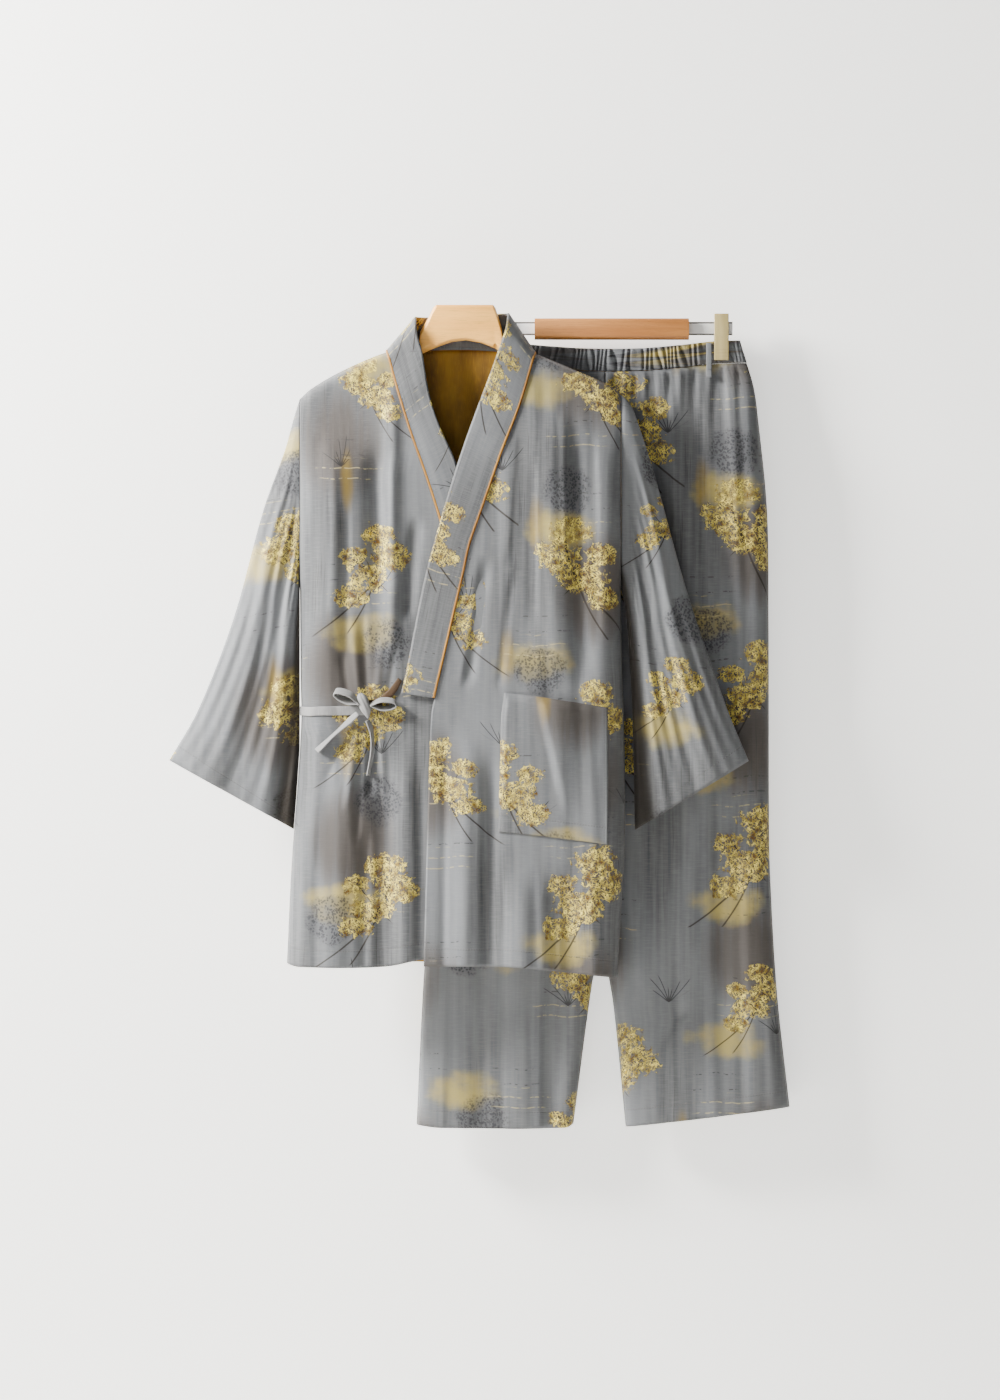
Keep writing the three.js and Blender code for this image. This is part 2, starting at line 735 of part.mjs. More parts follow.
function backPoints() {
  const hem = profile(backHemRows, "x", "z");
  const top = (x) => (x > neckLeft.x && x < neckRight.x ? backNeck(x) : shoulder(x));
  const sideLeft = (v) => mix(shoulderRows[0].z, leftFoot.z, v);
  const sideRight = (v) => mix(shoulderRows.at(-1).z, rightFoot.z, v);
  const across = (u) => mix(armholeLeft, armholeRight, u);
  const foot = (u) => mix(leftFoot.x, rightFoot.x, u);
  return panelPoints({
    left: (v) => ({ x: leftSide(sideLeft(v)), z: sideLeft(v) }),
    right: (v) => ({ x: rightSide(sideRight(v)), z: sideRight(v) }),
    top: (u) => ({ x: across(u), z: top(across(u)) }),
    bottom: (u) => ({ x: foot(u), z: hem(foot(u)) }),
    across: backAcross,
    down: bodyDown,
    depth: (x, z) => backStand(x, z),
  });
}

const underRows = underPoints();
const overRows = overPoints();
const backRows = backPoints();

// The collar band's pairs of points: on the neck seam, and on the free edge across from it
function collarPairs() {
  const edgeOf = (rows, column) => rows.map((row) => row[column]).filter(({ z }) => z >= bandEnd);
  const front = (seam, free, lift) => {
    const z = seam.z + bandRise(seam.z);
    const x = free(z);
    const roll = neckRoll(z) * smooth((z - neckRollFoot) / neckRollFade);
    const out = Math.max(roll, frontStand(x, z));
    return new THREE.Vector3(x, -(out + lift(x, z)), z);
  };
  const underEdge = edgeOf(underRows, underAcross.length - 1);
  const overEdge = edgeOf(overRows, 0);
  const left = underEdge.slice(1).reverse().map((seam) => (
    { seam, free: front(seam, freeLeft, () => 0) }
  ));
  const right = overEdge.slice(1).map((seam) => (
    { seam, free: front(seam, freeRight, (x, z) => wrapOver(x, z)) }
  ));
  const neck = backRows[0].filter((_, i) => (
    backAcross[i] >= neckLeftLine && backAcross[i] <= neckRightLine
  ));
  const back = neck.map((seam) => {
    const share = (seam.x - neckLeft.x) / (neckRight.x - neckLeft.x);
    const x = mix(freeLeftRows[0].x, freeRightRows[0].x, share);
    const y = backCollarLean * Math.sqrt(Math.max(1 - (2 * share - 1) ** 4, 0));
    const z = mix(freeLeftRows[0].z, freeRightRows[0].z, share);
    return { seam, free: new THREE.Vector3(x, y, z) };
  });
  return [...left, ...back, ...right];
}

const pairs = collarPairs();

// Points across the band: just off the seam, at its middle and at its free edge
function collarRows() {
  return pairs.map(({ seam, free }) => (
    [bandStart, 0.5, 1].map((share) => seam.clone().lerp(free, share))
  ));
}

const group = new THREE.Group();

function add(name, geometry, colour, roughness = 0.8, metalness = 0) {
  const material = new THREE.MeshStandardMaterial({ color: colour, roughness, metalness });
  const mesh = new THREE.Mesh(geometry, material);
  mesh.name = name;
  group.add(mesh);
}

const greyCloth = "#98999a";
const goldPiping = "#b98a4e";
const paleWood = "#f0cba0";
const warmWood = "#d3a06c";
const bright = "#d9dadb";
const beige = "#bdb082";

function addJacketBody() {
  add("front_under", wall(underRows, clothThickness, forward, { keep: inFront(0) }), greyCloth);
  add("front_over", wall(overRows, clothThickness, forward, { keep: inFront(0) }), greyCloth);
  add("jacket_back", wall(backRows, clothThickness, backward, { keep: behind(0) }), greyCloth);
}

// The collar band faces outwards all round: forwards, sideways at the neck and back behind it
function addCollar() {
  const rows = collarRows();
  add("collar_band", wall(rows, bandThickness, backward), greyCloth);
}

// Piping lies over the neck seam, half on the panel and half on the band
function addPiping() {
  const left = -seamGap;
  const right = left + piping.width;
  const top = piping.lift + piping.height;
  const sections = pairs.map(({ seam, free }, i) => {
    const before = pairs[Math.max(i - 1, 0)].seam;
    const after = pairs[Math.min(i + 1, pairs.length - 1)].seam;
    const along = after.clone().sub(before).normalize();
    const across = free.clone().sub(seam);
    across.addScaledVector(along, -across.dot(along)).normalize();
    const out = across.clone().cross(along).normalize();
    const corner = (side, height) => (
      seam.clone().addScaledVector(across, side).addScaledVector(out, height)
    );
    const foot = [corner(left, piping.lift), corner(right, piping.lift)];
    return [...foot, corner(right - piping.slope, top), corner(left + piping.slope, top)];
  });
  add("collar_piping", loft(sections), goldPiping, 0.6);
}

function sleeveRows({ outer, inner, outward }) {
  const outerEdge = profile(outer, "z", "x");
  const innerEdge = profile(inner, "z", "x");
  return sleeveDown.map((t) => {
    const topZ = mix(outer[0].z, outer.at(-1).z, t);
    const footZ = mix(inner[0].z, inner.at(-1).z, t);
    const start = t === 0 ? outward * seamGap : outward * (seamGap + 0.2);
    const top = { x: outerEdge(topZ) + start, z: topZ };
    const foot = { x: innerEdge(footZ) + start, z: footZ };
    return Array.from({ length: sleeveAround }, (_, i) => {
      const angle = (2 * Math.PI * i) / sleeveAround;
      const share = Math.cos(angle);
      const side = Math.sign(Math.round(Math.sin(angle) * 1e6));
      const half = mix(armholeDepth, cuffDepth, smooth(t / 0.5));
      const fold = sleeveFolds.reduce((sum, { at, width, out }) => (
        sum + out * Math.exp(-(((share - at) / width) ** 2))
      ), 0);
      const stand = ovalDepth(half, share) + fold * smooth(t / 0.3);
      const x = mix(foot.x, top.x, (share + 1) / 2);
      const z = mix(foot.z, top.z, (share + 1) / 2);
      return new THREE.Vector3(x, side * stand + cuffSetBack * t, z);
    });
  });
}

function addSleeve(sleeve) {
  const rows = sleeveRows(sleeve);
  const limit = sleeve.armhole + sleeve.outward * seamGap;
  const keep = (p) => {
    const x = sleeve.outward > 0 ? Math.max(p.x, limit) : Math.min(p.x, limit);
    return new THREE.Vector3(x, p.y, p.z);
  };
  const outwards = () => new THREE.Vector3(sleeve.outward, 0, 1);
  add(sleeve.name, wall(rows, clothThickness, outwards, { ring: true, keep }), greyCloth);
}

// The part of a panel's points between two lines across and two lines down
function cut(rows, across, down, box) {
  const within = (value, low, high) => value > low - 1e-6 && value < high + 1e-6;
  return rows.filter((_, j) => within(down[j], box.top, box.foot)).map((row) => (
    row.filter((_, i) => within(across[i], box.left, box.right))
  ));
}

// The pocket follows the panel's own points and gapes in the middle of its top edge
function addPocket() {
  const box = {
    left: pocketLeftLine,
    right: pocketRightLine,
    top: pocketTopLine,
    foot: pocketFootLine,
  };
  const rows = movedOut(cut(overRows, overAcross, bodyDown, box), seamGap + clothThickness, forward);
  const last = rows[0].length - 1;
  rows.forEach((row, j) => row.forEach((p, i) => {
    const down = j / (rows.length - 1);
    p.y -= pocketGape * Math.sin((Math.PI * i) / last) ** 2 * (1 - down) ** 2;
  }));
  add("pocket", wall(rows, clothThickness, forward), greyCloth);
}

function addTieBand() {
  const box = { left: 0, right: tieEndLine, top: tieTopLine, foot: tieFootLine };
  const under = cut(underRows, underAcross, bodyDown, box);
  const rows = movedOut(under, seamGap + tieThickness, forward);
  add("tie_band", wall(rows, tieThickness, forward, { keep: inFront(0) }), greyCloth);
}

// A flat ribbon along a line of places, clear of the left front by so much at both of its ends
function ribbon(places, width, clear) {
  return places.map((place, i) => {
    const before = places[Math.max(i - 1, 0)];
    const after = places[Math.min(i + 1, places.length - 1)];
    const along = new THREE.Vector2(after.x - before.x, after.z - before.z).normalize();
    const gap = mix(clear.start, clear.end, i / (places.length - 1));
    const far = (x, z) => -(frontStand(x, z) + gap + tieThickness);
    return [-0.5, 0.5].map((side) => {
      const x = place.x - along.y * width * side;
      const z = place.z + along.x * width * side;
      return new THREE.Vector3(x, Math.min(far(x, z), far(place.x, place.z)), z);
    });
  });
}

function addBow() {
  const tieFront = frontStand(knot.x, knot.z) + seamGap + tieThickness;
  const knotFront = tieFront + knot.gap + knot.halfDepth;
  const sections = knotSections.map((share) => {
    const size = share * share === 1 ? 0.45 : Math.sqrt(1 - share * share * 0.75);
    return Array.from({ length: knotAround }, (_, i) => {
      const angle = (2 * Math.PI * i) / knotAround;
      return new THREE.Vector3(
        knot.x + knot.halfWidth * size * Math.cos(angle),
        -knotFront + knot.halfDepth * size * Math.sin(angle),
        knot.z + knot.halfHeight * share,
      );
    });
  });
  add("bow_knot", loft(sections), greyCloth);
  for (const loop of bowLoops) add(loop.name, bowLoop(loop, -knotFront), greyCloth);
  for (const tail of bowTails) {
    const rows = ribbon(tail.points, tieWidth, tailClear);
    add(tail.name, wall(rows, tieThickness, forward), greyCloth);
  }
  const rows = ribbon(tieStrap.points, tieWidth, tieStrap.clear);
  add("tie_strap", wall(rows, tieThickness, forward), greyCloth);
}

// A loop of the bow, a ribbon bent round to both sides of the knot
function bowLoop({ x, z, halfLength, halfHeight, turn }, middle) {
  const rows = [-0.5, 0.5].map((side) => Array.from({ length: loopAround }, (_, i) => {
    const angle = (2 * Math.PI * i) / loopAround;
    const a = halfLength * Math.cos(angle);
    const b = halfHeight * Math.sin(angle);
    return new THREE.Vector3(
      x + a * Math.cos(turn) - b * Math.sin(turn),
      middle - 1 + side * loopWidth,
      z + a * Math.sin(turn) + b * Math.cos(turn),
    );
  }));
  return wall(rows, tieThickness, (p) => new THREE.Vector3(p.x - x, 0, p.z - z), { ring: true });
}

function addJacketHanger() {
  const sections = hangerRows.map(({ x, top, foot, half }) => {
    const middle = (top + foot) / 2;
    const height = (top - foot) / 2;
    const corner = top === 0 ? blockCorner : Math.min(armCorner, height / 2, half - 1.5);
    const outline = [
      [-half, -height + corner], [-half, height - corner], [-half + corner, height],
      [half - corner, height], [half, height - corner], [half, -height + corner],
      [half - corner, -height], [-half + corner, -height],
    ];
    return outline.map(([y, z]) => new THREE.Vector3(x, y, middle + z));
  });
  add("jacket_hanger", loft(sections), paleWood, 0.5);
}

// The middle line of the waistband, once round it: places across, their depth and outward direction
function waistLine(half, count) {
  const fine = 720;
  const path = Array.from({ length: fine }, (_, i) => {
    const angle = (2 * Math.PI * i) / fine;
    const q = Math.cos(angle);
    const out = waistDepth(Math.abs(q)) * Math.min(1, Math.abs(Math.sin(angle)) * 4);
    return new THREE.Vector2(half * q, Math.sign(Math.sin(angle)) * out);
  });
  const lengths = [0];
  path.forEach((p, i) => lengths.push(lengths[i] + p.distanceTo(path[(i + 1) % fine])));
  return Array.from({ length: count }, (_, k) => {
    const target = (lengths[fine] * k) / count;
    const i = Math.max(lengths.findIndex((length) => length > target) - 1, 0);
    const [a, b] = [path[i], path[(i + 1) % fine]];
    const place = a.clone().lerp(b, (target - lengths[i]) / (lengths[i + 1] - lengths[i]));
    const along = path[(i + 3) % fine].clone().sub(path[(i + fine - 3) % fine]).normalize();
    return { place, out: new THREE.Vector2(along.y, -along.x) };
  });
}

// The elastic waistband stands in even gathers, three points to each, pinched under the clips
function addWaistband() {
  const pointsRound = gathersRound * 3;
  const rows = gatherRows.map(({ drop, swell }) => (
    waistLine(waistHalf(drop), pointsRound).map(({ place, out }, k) => {
      const q = Math.abs(place.x) / waistHalf(drop);
      const pinch = 1 - clipPinch.loss * smooth((q - clipPinch.from) / clipPinch.over);
      const wave = (k % 3 === 0 ? 1 : -0.5) * gatherHeight * swell * pinch;
      const x = waistMiddle + place.x + out.x * wave;
      const y = trouserPlane + place.y + out.y * wave;
      return new THREE.Vector3(x, y, waistTop(waistMiddle + place.x) - drop);
    })
  ));
  const outwards = (p) => new THREE.Vector3(p.x - waistMiddle, p.y - trouserPlane, 0);
  add("waistband", wall(rows, waistbandThickness, outwards, { ring: true }), greyCloth);
}

// How far a trouser panel stands out from the plane of its side seams
function trouserStand(x, z, leg) {
  const drop = waistTop(x) - waistbandHeight - z;
  const half = waistHalf(waistbandHeight);
  const top = waistDepth(Math.min(Math.abs(x - waistMiddle) / half, 1));
  const full = mix(top, trouserDepth(z), smooth(drop / trouserFullDrop));
  const outer = Math.abs(leg.outerEdge(z) - x);
  const inner = Math.abs(leg.innerEdge(z) - x);
  const seam = z > crotch ? full * roundOff((z - crotch) / crotchRound) : 0;
  const edge = roundOff(outer / legRadius);
  const inside = seam + (full - seam) * roundOff(inner / legRadius);
  const wave = pleat.height * Math.cos((2 * Math.PI * x) / pleat.pitch);
  const pleatCalm = smooth(outer / pleat.fromOuter) * smooth(drop / pleat.fromWaist);
  const pleats = wave * Math.exp(-drop / pleat.fade) * pleatCalm;
  const besideSeam = z > crotch ? 1 : smooth(inner / trouserCalm.fromInner);
  const calm = smooth(outer / trouserCalm.fromOuter) * besideSeam;
  const folds = foldHeight(trouserFolds, x, z) * smooth(drop / trouserCalm.fromWaist);
  return edge * inside + calm * folds + pleats;
}

function addTrouserPanel(name, leg, face) {
  const belowCrotch = profile(leg.inner, "z", "x");
  const seamX = riseSeam + leg.side * seamGap / 2;
  leg.outerEdge = profile(leg.outer, "z", "x");
  leg.innerEdge = (z) => (z > crotch ? seamX : belowCrotch(z));
  const topLine = (x) => waistTop(x) - waistbandHeight - 2 * seamGap;
  const hem = profile(leg.hem, "x", "z");
  const hemOuter = leg.side > 0 ? leg.hem.at(-1) : leg.hem[0];
  const hemInner = leg.side > 0 ? leg.hem[0] : leg.hem.at(-1);
  const topOuter = waistMiddle + leg.side * waistHalf(waistbandHeight);
  const outerDown = (v) => mix(topLine(topOuter), hemOuter.z, v);
  const innerDown = (v) => (v < crotchLine
    ? mix(topLine(seamX), crotch, v / crotchLine)
    : mix(crotch, hemInner.z, (v - crotchLine) / (1 - crotchLine)));
  const rows = panelPoints({
    left: (v) => ({ x: v === 0 ? topOuter : leg.outerEdge(outerDown(v)), z: outerDown(v) }),
    right: (v) => ({ x: leg.innerEdge(innerDown(v) - (v === crotchLine ? 1e-6 : 0)), z: innerDown(v) }),
    top: (u) => ({ x: mix(topOuter, seamX, u), z: topLine(mix(topOuter, seamX, u)) }),
    bottom: (u) => ({ x: mix(hemOuter.x, hemInner.x, u), z: hem(mix(hemOuter.x, hemInner.x, u)) }),
    across: legAcross,
    down: legDown,
    depth: (x, z) => trouserPlane + face * trouserStand(x, z, leg),
  });
  const flat = face < 0 ? inFront(trouserPlane) : behind(trouserPlane);
  const limit = (p) => (leg.side > 0 ? Math.max(p.x, seamX) : Math.min(p.x, seamX));
  const keep = (p) => {
    const q = flat(p);
    if (q.z > crotch) q.x = limit(q);
    return q;
  };
  add(name, wall(rows, clothThickness, face < 0 ? forward : backward, { keep }), greyCloth);
}

function addTrousers() {
  addWaistband();
  for (const [side, leg] of [["right", rightLeg], ["left", leftLeg]]) {
    addTrouserPanel(`trouser_front_${side}`, leg, -1);
    addTrouserPanel(`trouser_back_${side}`, leg, 1);
  }
  const half = waistDepth(strap.waistShare) + gatherHeight + seamGap + clothThickness;
  const rows = strapRows.map(({ z, out }) => [-0.5, 0.5].map((side) => (
    new THREE.Vector3(strap.x + side * strap.width, trouserPlane - half - out, z)
  )));
  add("waist_strap", wall(rows, clothThickness, forward), greyCloth);
}

// A shape drawn in y and z, pushed along x from one place to another
function alongX(shape, from, to) {
  const geometry = new THREE.ExtrudeGeometry(shape, { depth: to - from, bevelEnabled: false });
  const turn = new THREE.Matrix4().makeBasis(
    new THREE.Vector3(0, 1, 0), new THREE.Vector3(0, 0, 1), new THREE.Vector3(1, 0, 0));
  geometry.applyMatrix4(turn);
  return geometry.translate(from, 0, 0);
}

function roundedBox(Outline, half, foot, top, round) {
  const shape = new Outline();
  const corners = [
    [half - round, foot + round, -Math.PI / 2, 0],
    [half - round, top - round, 0, Math.PI / 2],
    [-half + round, top - round, Math.PI / 2, Math.PI],
    [-half + round, foot + round, Math.PI, 1.5 * Math.PI],
  ];
  for (const [y, z, start, end] of corners) {
    shape.absarc(trouserPlane + y, z, round, start, end, false);
  }
  return shape;
}

function addTrouserHanger() {
  const gripShape = roundedBox(THREE.Shape, grip.half, grip.foot, grip.top, grip.round);
  const slot = { half: bar.half + seamGap, foot: bar.foot - seamGap, top: bar.top + seamGap };
  gripShape.holes.push(roundedBox(THREE.Path, slot.half, slot.foot, slot.top, bar.round));
  add("hanger_grip", alongX(gripShape, grip.left, grip.right), warmWood, 0.5);
  const barShape = roundedBox(THREE.Shape, bar.half, bar.foot, bar.top, bar.round);
  add("hanger_bar", alongX(barShape, bar.left, bar.right), bright, 0.2, 1);
  for (const { name, x } of clipMiddles) {
    const outer = clip.gap + clip.wall;
    const under = bar.top + seamGap;
    const shape = new THREE.Shape([
      [-outer, clip.foot], [-clip.gap, clip.foot], [-clip.gap, under], [clip.gap, under],
      [clip.gap, clip.foot], [outer, clip.foot], [outer, clip.top], [-outer, clip.top],
    ].map(([y, z]) => new THREE.Vector2(trouserPlane + y, z)));
    add(name, alongX(shape, x - clip.width / 2, x + clip.width / 2), beige, 0.5);
  }
}

addJacketHanger();
addJacketBody();
addCollar();
addPiping();
addSleeve(leftSleeve);
addSleeve(rightSleeve);
addPocket();
addTieBand();
addBow();
addTrousers();
addTrouserHanger();

export default group;
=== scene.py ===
# %% [markdown]
# # A kimono pyjama set on its hangers
# The imported CAD model gives the size and the place of every part. This lesson dresses it: each
# cloth part gets a thin, creased shell on the form of its solid, and each hanger part a finer
# surface.

# %% Load the imported model
import bmesh
import bpy
import math
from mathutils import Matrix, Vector


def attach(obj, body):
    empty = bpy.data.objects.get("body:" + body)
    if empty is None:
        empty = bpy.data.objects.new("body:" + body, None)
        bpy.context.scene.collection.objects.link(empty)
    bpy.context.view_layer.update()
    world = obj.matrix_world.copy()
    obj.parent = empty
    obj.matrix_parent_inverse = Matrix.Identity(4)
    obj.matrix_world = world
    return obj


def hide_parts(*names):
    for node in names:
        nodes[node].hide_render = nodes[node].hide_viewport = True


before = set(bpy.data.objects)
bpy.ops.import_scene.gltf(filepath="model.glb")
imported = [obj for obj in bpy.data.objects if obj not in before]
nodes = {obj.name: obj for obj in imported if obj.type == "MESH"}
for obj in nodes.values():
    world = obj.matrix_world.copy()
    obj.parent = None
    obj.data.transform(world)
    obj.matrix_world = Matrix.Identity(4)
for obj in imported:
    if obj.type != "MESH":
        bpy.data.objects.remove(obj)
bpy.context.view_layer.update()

# %% [markdown]
# ## Room, light and camera
# The set hangs flat against a pale wall, and the picture is taken from straight in front with a
# long lens. A sun or a bare lamp would cut hard shadows, so soft boxes do the work: a strong one
# up at the left and close to the wall, whose light grazes the folds, a weak one in front, and one
# behind. The world gives little light of its own: it is bright only to a camera that sees past
# the wall. The wall lets light and the look of any camera behind it through.

# %% Camera in front, with a long lens
view_middle = Vector((0.0425, 0, -0.49375))
view_height, view_distance, film_height = 1.75, 8.0, 36
camera_data = bpy.data.cameras.new("front camera")
camera_data.sensor_fit = "VERTICAL"
camera_data.sensor_height = film_height
camera_data.lens = film_height * view_distance / view_height
camera_data.clip_end = 50
camera = bpy.data.objects.new("front camera", camera_data)
camera.location = view_middle + Vector((0, -view_distance, 0))
camera.rotation_euler = (math.pi / 2, 0, 0)
bpy.context.collection.objects.link(camera)
bpy.context.scene.camera = camera
print("lens", round(camera_data.lens, 1), "mm")

# %% Soft boxes
def soft_box(name, place, size, power, colour=(1, 1, 1)):
    """A square soft light that faces the middle of the picture."""
    light = bpy.data.lights.new(name, "AREA")
    light.shape = "SQUARE"
    light.size = size
    light.energy = power
    light.color = colour
    box = bpy.data.objects.new(name, light)
    box.location = place
    box.rotation_euler = (Vector(place) - view_middle).to_track_quat("Z", "Y").to_euler()
    bpy.context.collection.objects.link(box)


soft_box("key light", (-2.15, -0.85, 0.8), 0.8, 330, (1, 0.985, 0.955))
soft_box("fill light", (-1.2, -4.2, 0.6), 2.2, 30)
soft_box("light behind", (-2.2, 1.5, 0.9), 1.2, 130)
world = bpy.data.worlds.new("pale room")
bpy.context.scene.world = world
world.use_nodes = True
room = world.node_tree.nodes["Background"]
room.inputs["Color"].default_value = (0.93, 0.925, 0.9, 1)
look = world.node_tree.nodes.new("ShaderNodeLightPath")
level = world.node_tree.nodes.new("ShaderNodeMapRange")
level.inputs["To Min"].default_value = 0.14
level.inputs["To Max"].default_value = 1.3
world.node_tree.links.new(look.outputs["Is Camera Ray"], level.inputs["Value"])
world.node_tree.links.new(level.outputs["Result"], room.inputs["Strength"])
print("lights", [light.name for light in bpy.data.lights])

# %% [markdown]
# ## Shader maths in Python
# A material's pattern is a sum of many small formulas. Wiring them by hand hides what they do, so
# one small class wraps a socket and lets Python's own operators add the Math nodes. Any other node
# comes from one method of the paint.

# %% A socket that can be added, multiplied and compared
class Link:
    def __init__(self, paint, socket):
        self.paint, self.socket = paint, socket

    def math(self, operation, *others):
        values = dict(enumerate((self, *others)))
        return self.paint.node("Math", values, operation=operation)

    def __add__(self, other):
        return self.math("ADD", other)

    def __sub__(self, other):
        return self.math("SUBTRACT", other)

    def __rsub__(self, other):
        return (self * -1) + other

    def __mul__(self, other):
        return self.math("MULTIPLY", other)

    def __truediv__(self, other):
        return self.math("DIVIDE", other)

    __radd__ = __add__
    __rmul__ = __mul__

    def step(self, low, high):
        """Rises softly from 0 at low to 1 at high, or falls where low is the greater."""
        places = {"Value": self, "From Min": low, "From Max": high}
        return self.paint.node("MapRange", places, interpolation_type="SMOOTHSTEP")


# %% A paint: one material and the way to add nodes to it
class Paint:
    def __init__(self, name):
        self.material = bpy.data.materials.new(name)
        self.material.use_nodes = True
        self.tree = self.material.node_tree
        self.shader = self.tree.nodes["Principled BSDF"]
        self.colour = (0, 0, 0)

    def node(self, kind, inputs, output=0, stops=None, **settings):
        node = self.tree.nodes.new("ShaderNode" + kind)
        for name, value in settings.items():
            setattr(node, name, value)
        if stops:
            ramp = node.color_ramp.elements
            for place, colour in stops[2:]:
                ramp.new(place)
            for element, (place, colour) in zip(ramp, stops):
                element.position, element.color = place, (*colour, 1)
        for key, value in inputs.items():
            self.put(node.inputs[key], value)
        return Link(self, node.outputs[output])

    def put(self, socket, value):
        if isinstance(value, Link):
            self.tree.links.new(value.socket, socket)
        else:
            socket.default_value = (*value, 1) if isinstance(value, tuple) and len(value) == 3 \
                and socket.type == "RGBA" else value

    def blend(self, share, first, second):
        """A colour between two, by a share from 0 to 1."""
        return self.node("Mix", {0: share, 6: first, 7: second}, 2, data_type="RGBA")

    def lay(self, share, colour):
        """Lays a colour over what the paint has so far."""
        self.colour = self.blend(share, self.colour, colour)

    def parts(self, vector):
        """The three numbers of a vector or a colour."""
        return [self.node("SeparateXYZ", {0: vector}, i) for i in range(3)]

    def uv(self, name):
        """The two numbers of a UV map."""
        return self.parts(self.node("UVMap", {}, uv_map=name))[:2]

    def join(self, x, y, z=0.0):
        return self.node("CombineXYZ", {0: x, 1: y, 2: z})

    def noise(self, vector, scale, detail):
        return self.node("TexNoise", {"Vector": vector, "Scale": scale, "Detail": detail})

    def streaks(self, spot, scales, detail):
        """Noise with a scale of its own along each axis."""
        return self.noise(self.join(*(at * scale for at, scale in zip(spot, scales))), 1, detail)

    def finish(self, **sockets):
        for name, value in sockets.items():
            self.put(self.shader.inputs[name.replace("_", " ")], value)
        return self.material

    def bump(self, height, distance, strength=1.0):
        """Turns a height pattern into the shader's normal."""
        values = {"Height": height, "Distance": distance, "Strength": strength}
        self.put(self.shader.inputs["Normal"], self.node("Bump", values))


# %% [markdown]
# ## Wall and floor
# A plain wall gives the soft shadow at the right of each garment. Its glow is for the eye of a
# camera alone, so it lights nothing. It is see-through from behind and to shadow rays, which a
# shader can tell by Backfacing and by the Light Path node.

# %% Pale wall and floor
def backdrop(name, low, high, colour, glow=0.0):
    """A flat sheet between two corners."""
    paint = Paint(name)
    lit = paint.blend(paint.node("LightPath", {}, "Is Camera Ray"), (0, 0, 0), colour)
    paint.finish(Base_Color=colour, Roughness=0.9, Emission_Color=lit, Emission_Strength=glow)
    behind = paint.node("NewGeometry", {}, "Backfacing")
    shadow = paint.node("LightPath", {}, "Is Shadow Ray")
    clear = paint.node("BsdfTransparent", {})
    body = Link(paint, paint.shader.outputs[0])
    seen = paint.node("MixShader", {0: behind.math("MAXIMUM", shadow), 1: body, 2: clear})
    output = paint.tree.nodes["Material Output"]
    paint.tree.links.new(seen.socket, output.inputs["Surface"])
    bm = bmesh.new()
    bmesh.ops.create_grid(bm, x_segments=1, y_segments=1, size=0.5)
    for v in bm.verts:
        shares = v.co.x + 0.5, v.co.y + 0.5, v.co.y + 0.5
        v.co = [a + (b - a) * share for a, b, share in zip(low, high, shares)]
    mesh = bpy.data.meshes.new(name)
    bm.to_mesh(mesh)
    bm.free()
    mesh.materials.append(paint.material)
    sheet = bpy.data.objects.new(name, mesh)
    bpy.context.collection.objects.link(sheet)


wall_y = 0.092
floor_z = -1.62
backdrop("wall", (-3, wall_y, floor_z), (3, wall_y, 2.2), (0.93, 0.925, 0.9), 1.05)
backdrop("floor", (-3, -4, floor_z), (3, wall_y, floor_z), (0.9, 0.895, 0.87))
print("wall at y", wall_y, "m, floor at z", floor_z, "m")

# %% [markdown]
# ## The print
# The real cloth is a grey jacquard with gold and dark figures. This one has figures of its own:
# arching leaf sprays in gold, soft grey shrubs, tufts of reed, pale yellow clouds, ochre strokes,
# brown-grey shade with dark hairlines, and fine cream strokes. An image would be simpler, but a
# pattern made from nodes stays sharp at every distance. Each kind of figure is drawn once, around
# a middle point. The cloth is divided into oblong cells, and every cell shifts, turns or leaves
# out its figure by chance numbers of its own.

# %% Places of figures
def scatter(paint, x, y, pitch, seed, jitter):
    """Where a point lies beside its cell's figure, and the cell's three chance numbers."""
    wide, tall = pitch
    column = (x / wide).math("FLOOR")
    slip = paint.node("TexWhiteNoise", {"W": column + seed}, noise_dimensions="1D")
    rise = y / tall + slip
    row = rise.math("FLOOR")
    key = paint.join(column + seed, row * 1.37 + seed * 0.5)
    chance = paint.parts(paint.node("TexWhiteNoise", {"Vector": key}, "Color"))
    across = x - (column + 0.5) * wide - (chance[0] - 0.5) * (jitter * wide)
    up = (rise - row - 0.5) * tall - (chance[1] - 0.5) * (jitter * tall)
    side = chance[2].math("GREATER_THAN", 0.5) * 2 - 1
    return across * side, up, chance


def oval(across, up, middle, half):
    """1 in the middle of an oval, 0 on its edge and below 0 outside."""
    a = (across - middle[0]) / half[0]
    b = (up - middle[1]) / half[1]
    return 1 - (a * a + b * b)


def stroke(across, up, bend, width, reach):
    """A thin line across = b0 + b1 up + b2 up up, between two heights."""
    line = across - (up * up * bend[2] + up * bend[1] + bend[0])
    ends = up.step(reach[0], reach[0] + 0.006) * up.step(reach[1], reach[1] - 0.006)
    return line.math("ABSOLUTE").step(width, width * 0.35) * ends


def brush_marks(paint, x, y, turn, size):
    """Short marks of a brush that all lie one way, four times as long as wide."""
    along = x * math.cos(turn) + y * math.sin(turn)
    across = y * math.cos(turn) - x * math.sin(turn)
    return paint.noise(paint.join(along * size, across * size * 4), 1, 1)


def twill(x, y):
    """The fine slanting ribs of the weave."""
    return ((x + y * 0.6) * 4200).math("SINE") * 0.5 + (y * 5200).math("SINE") * 0.3


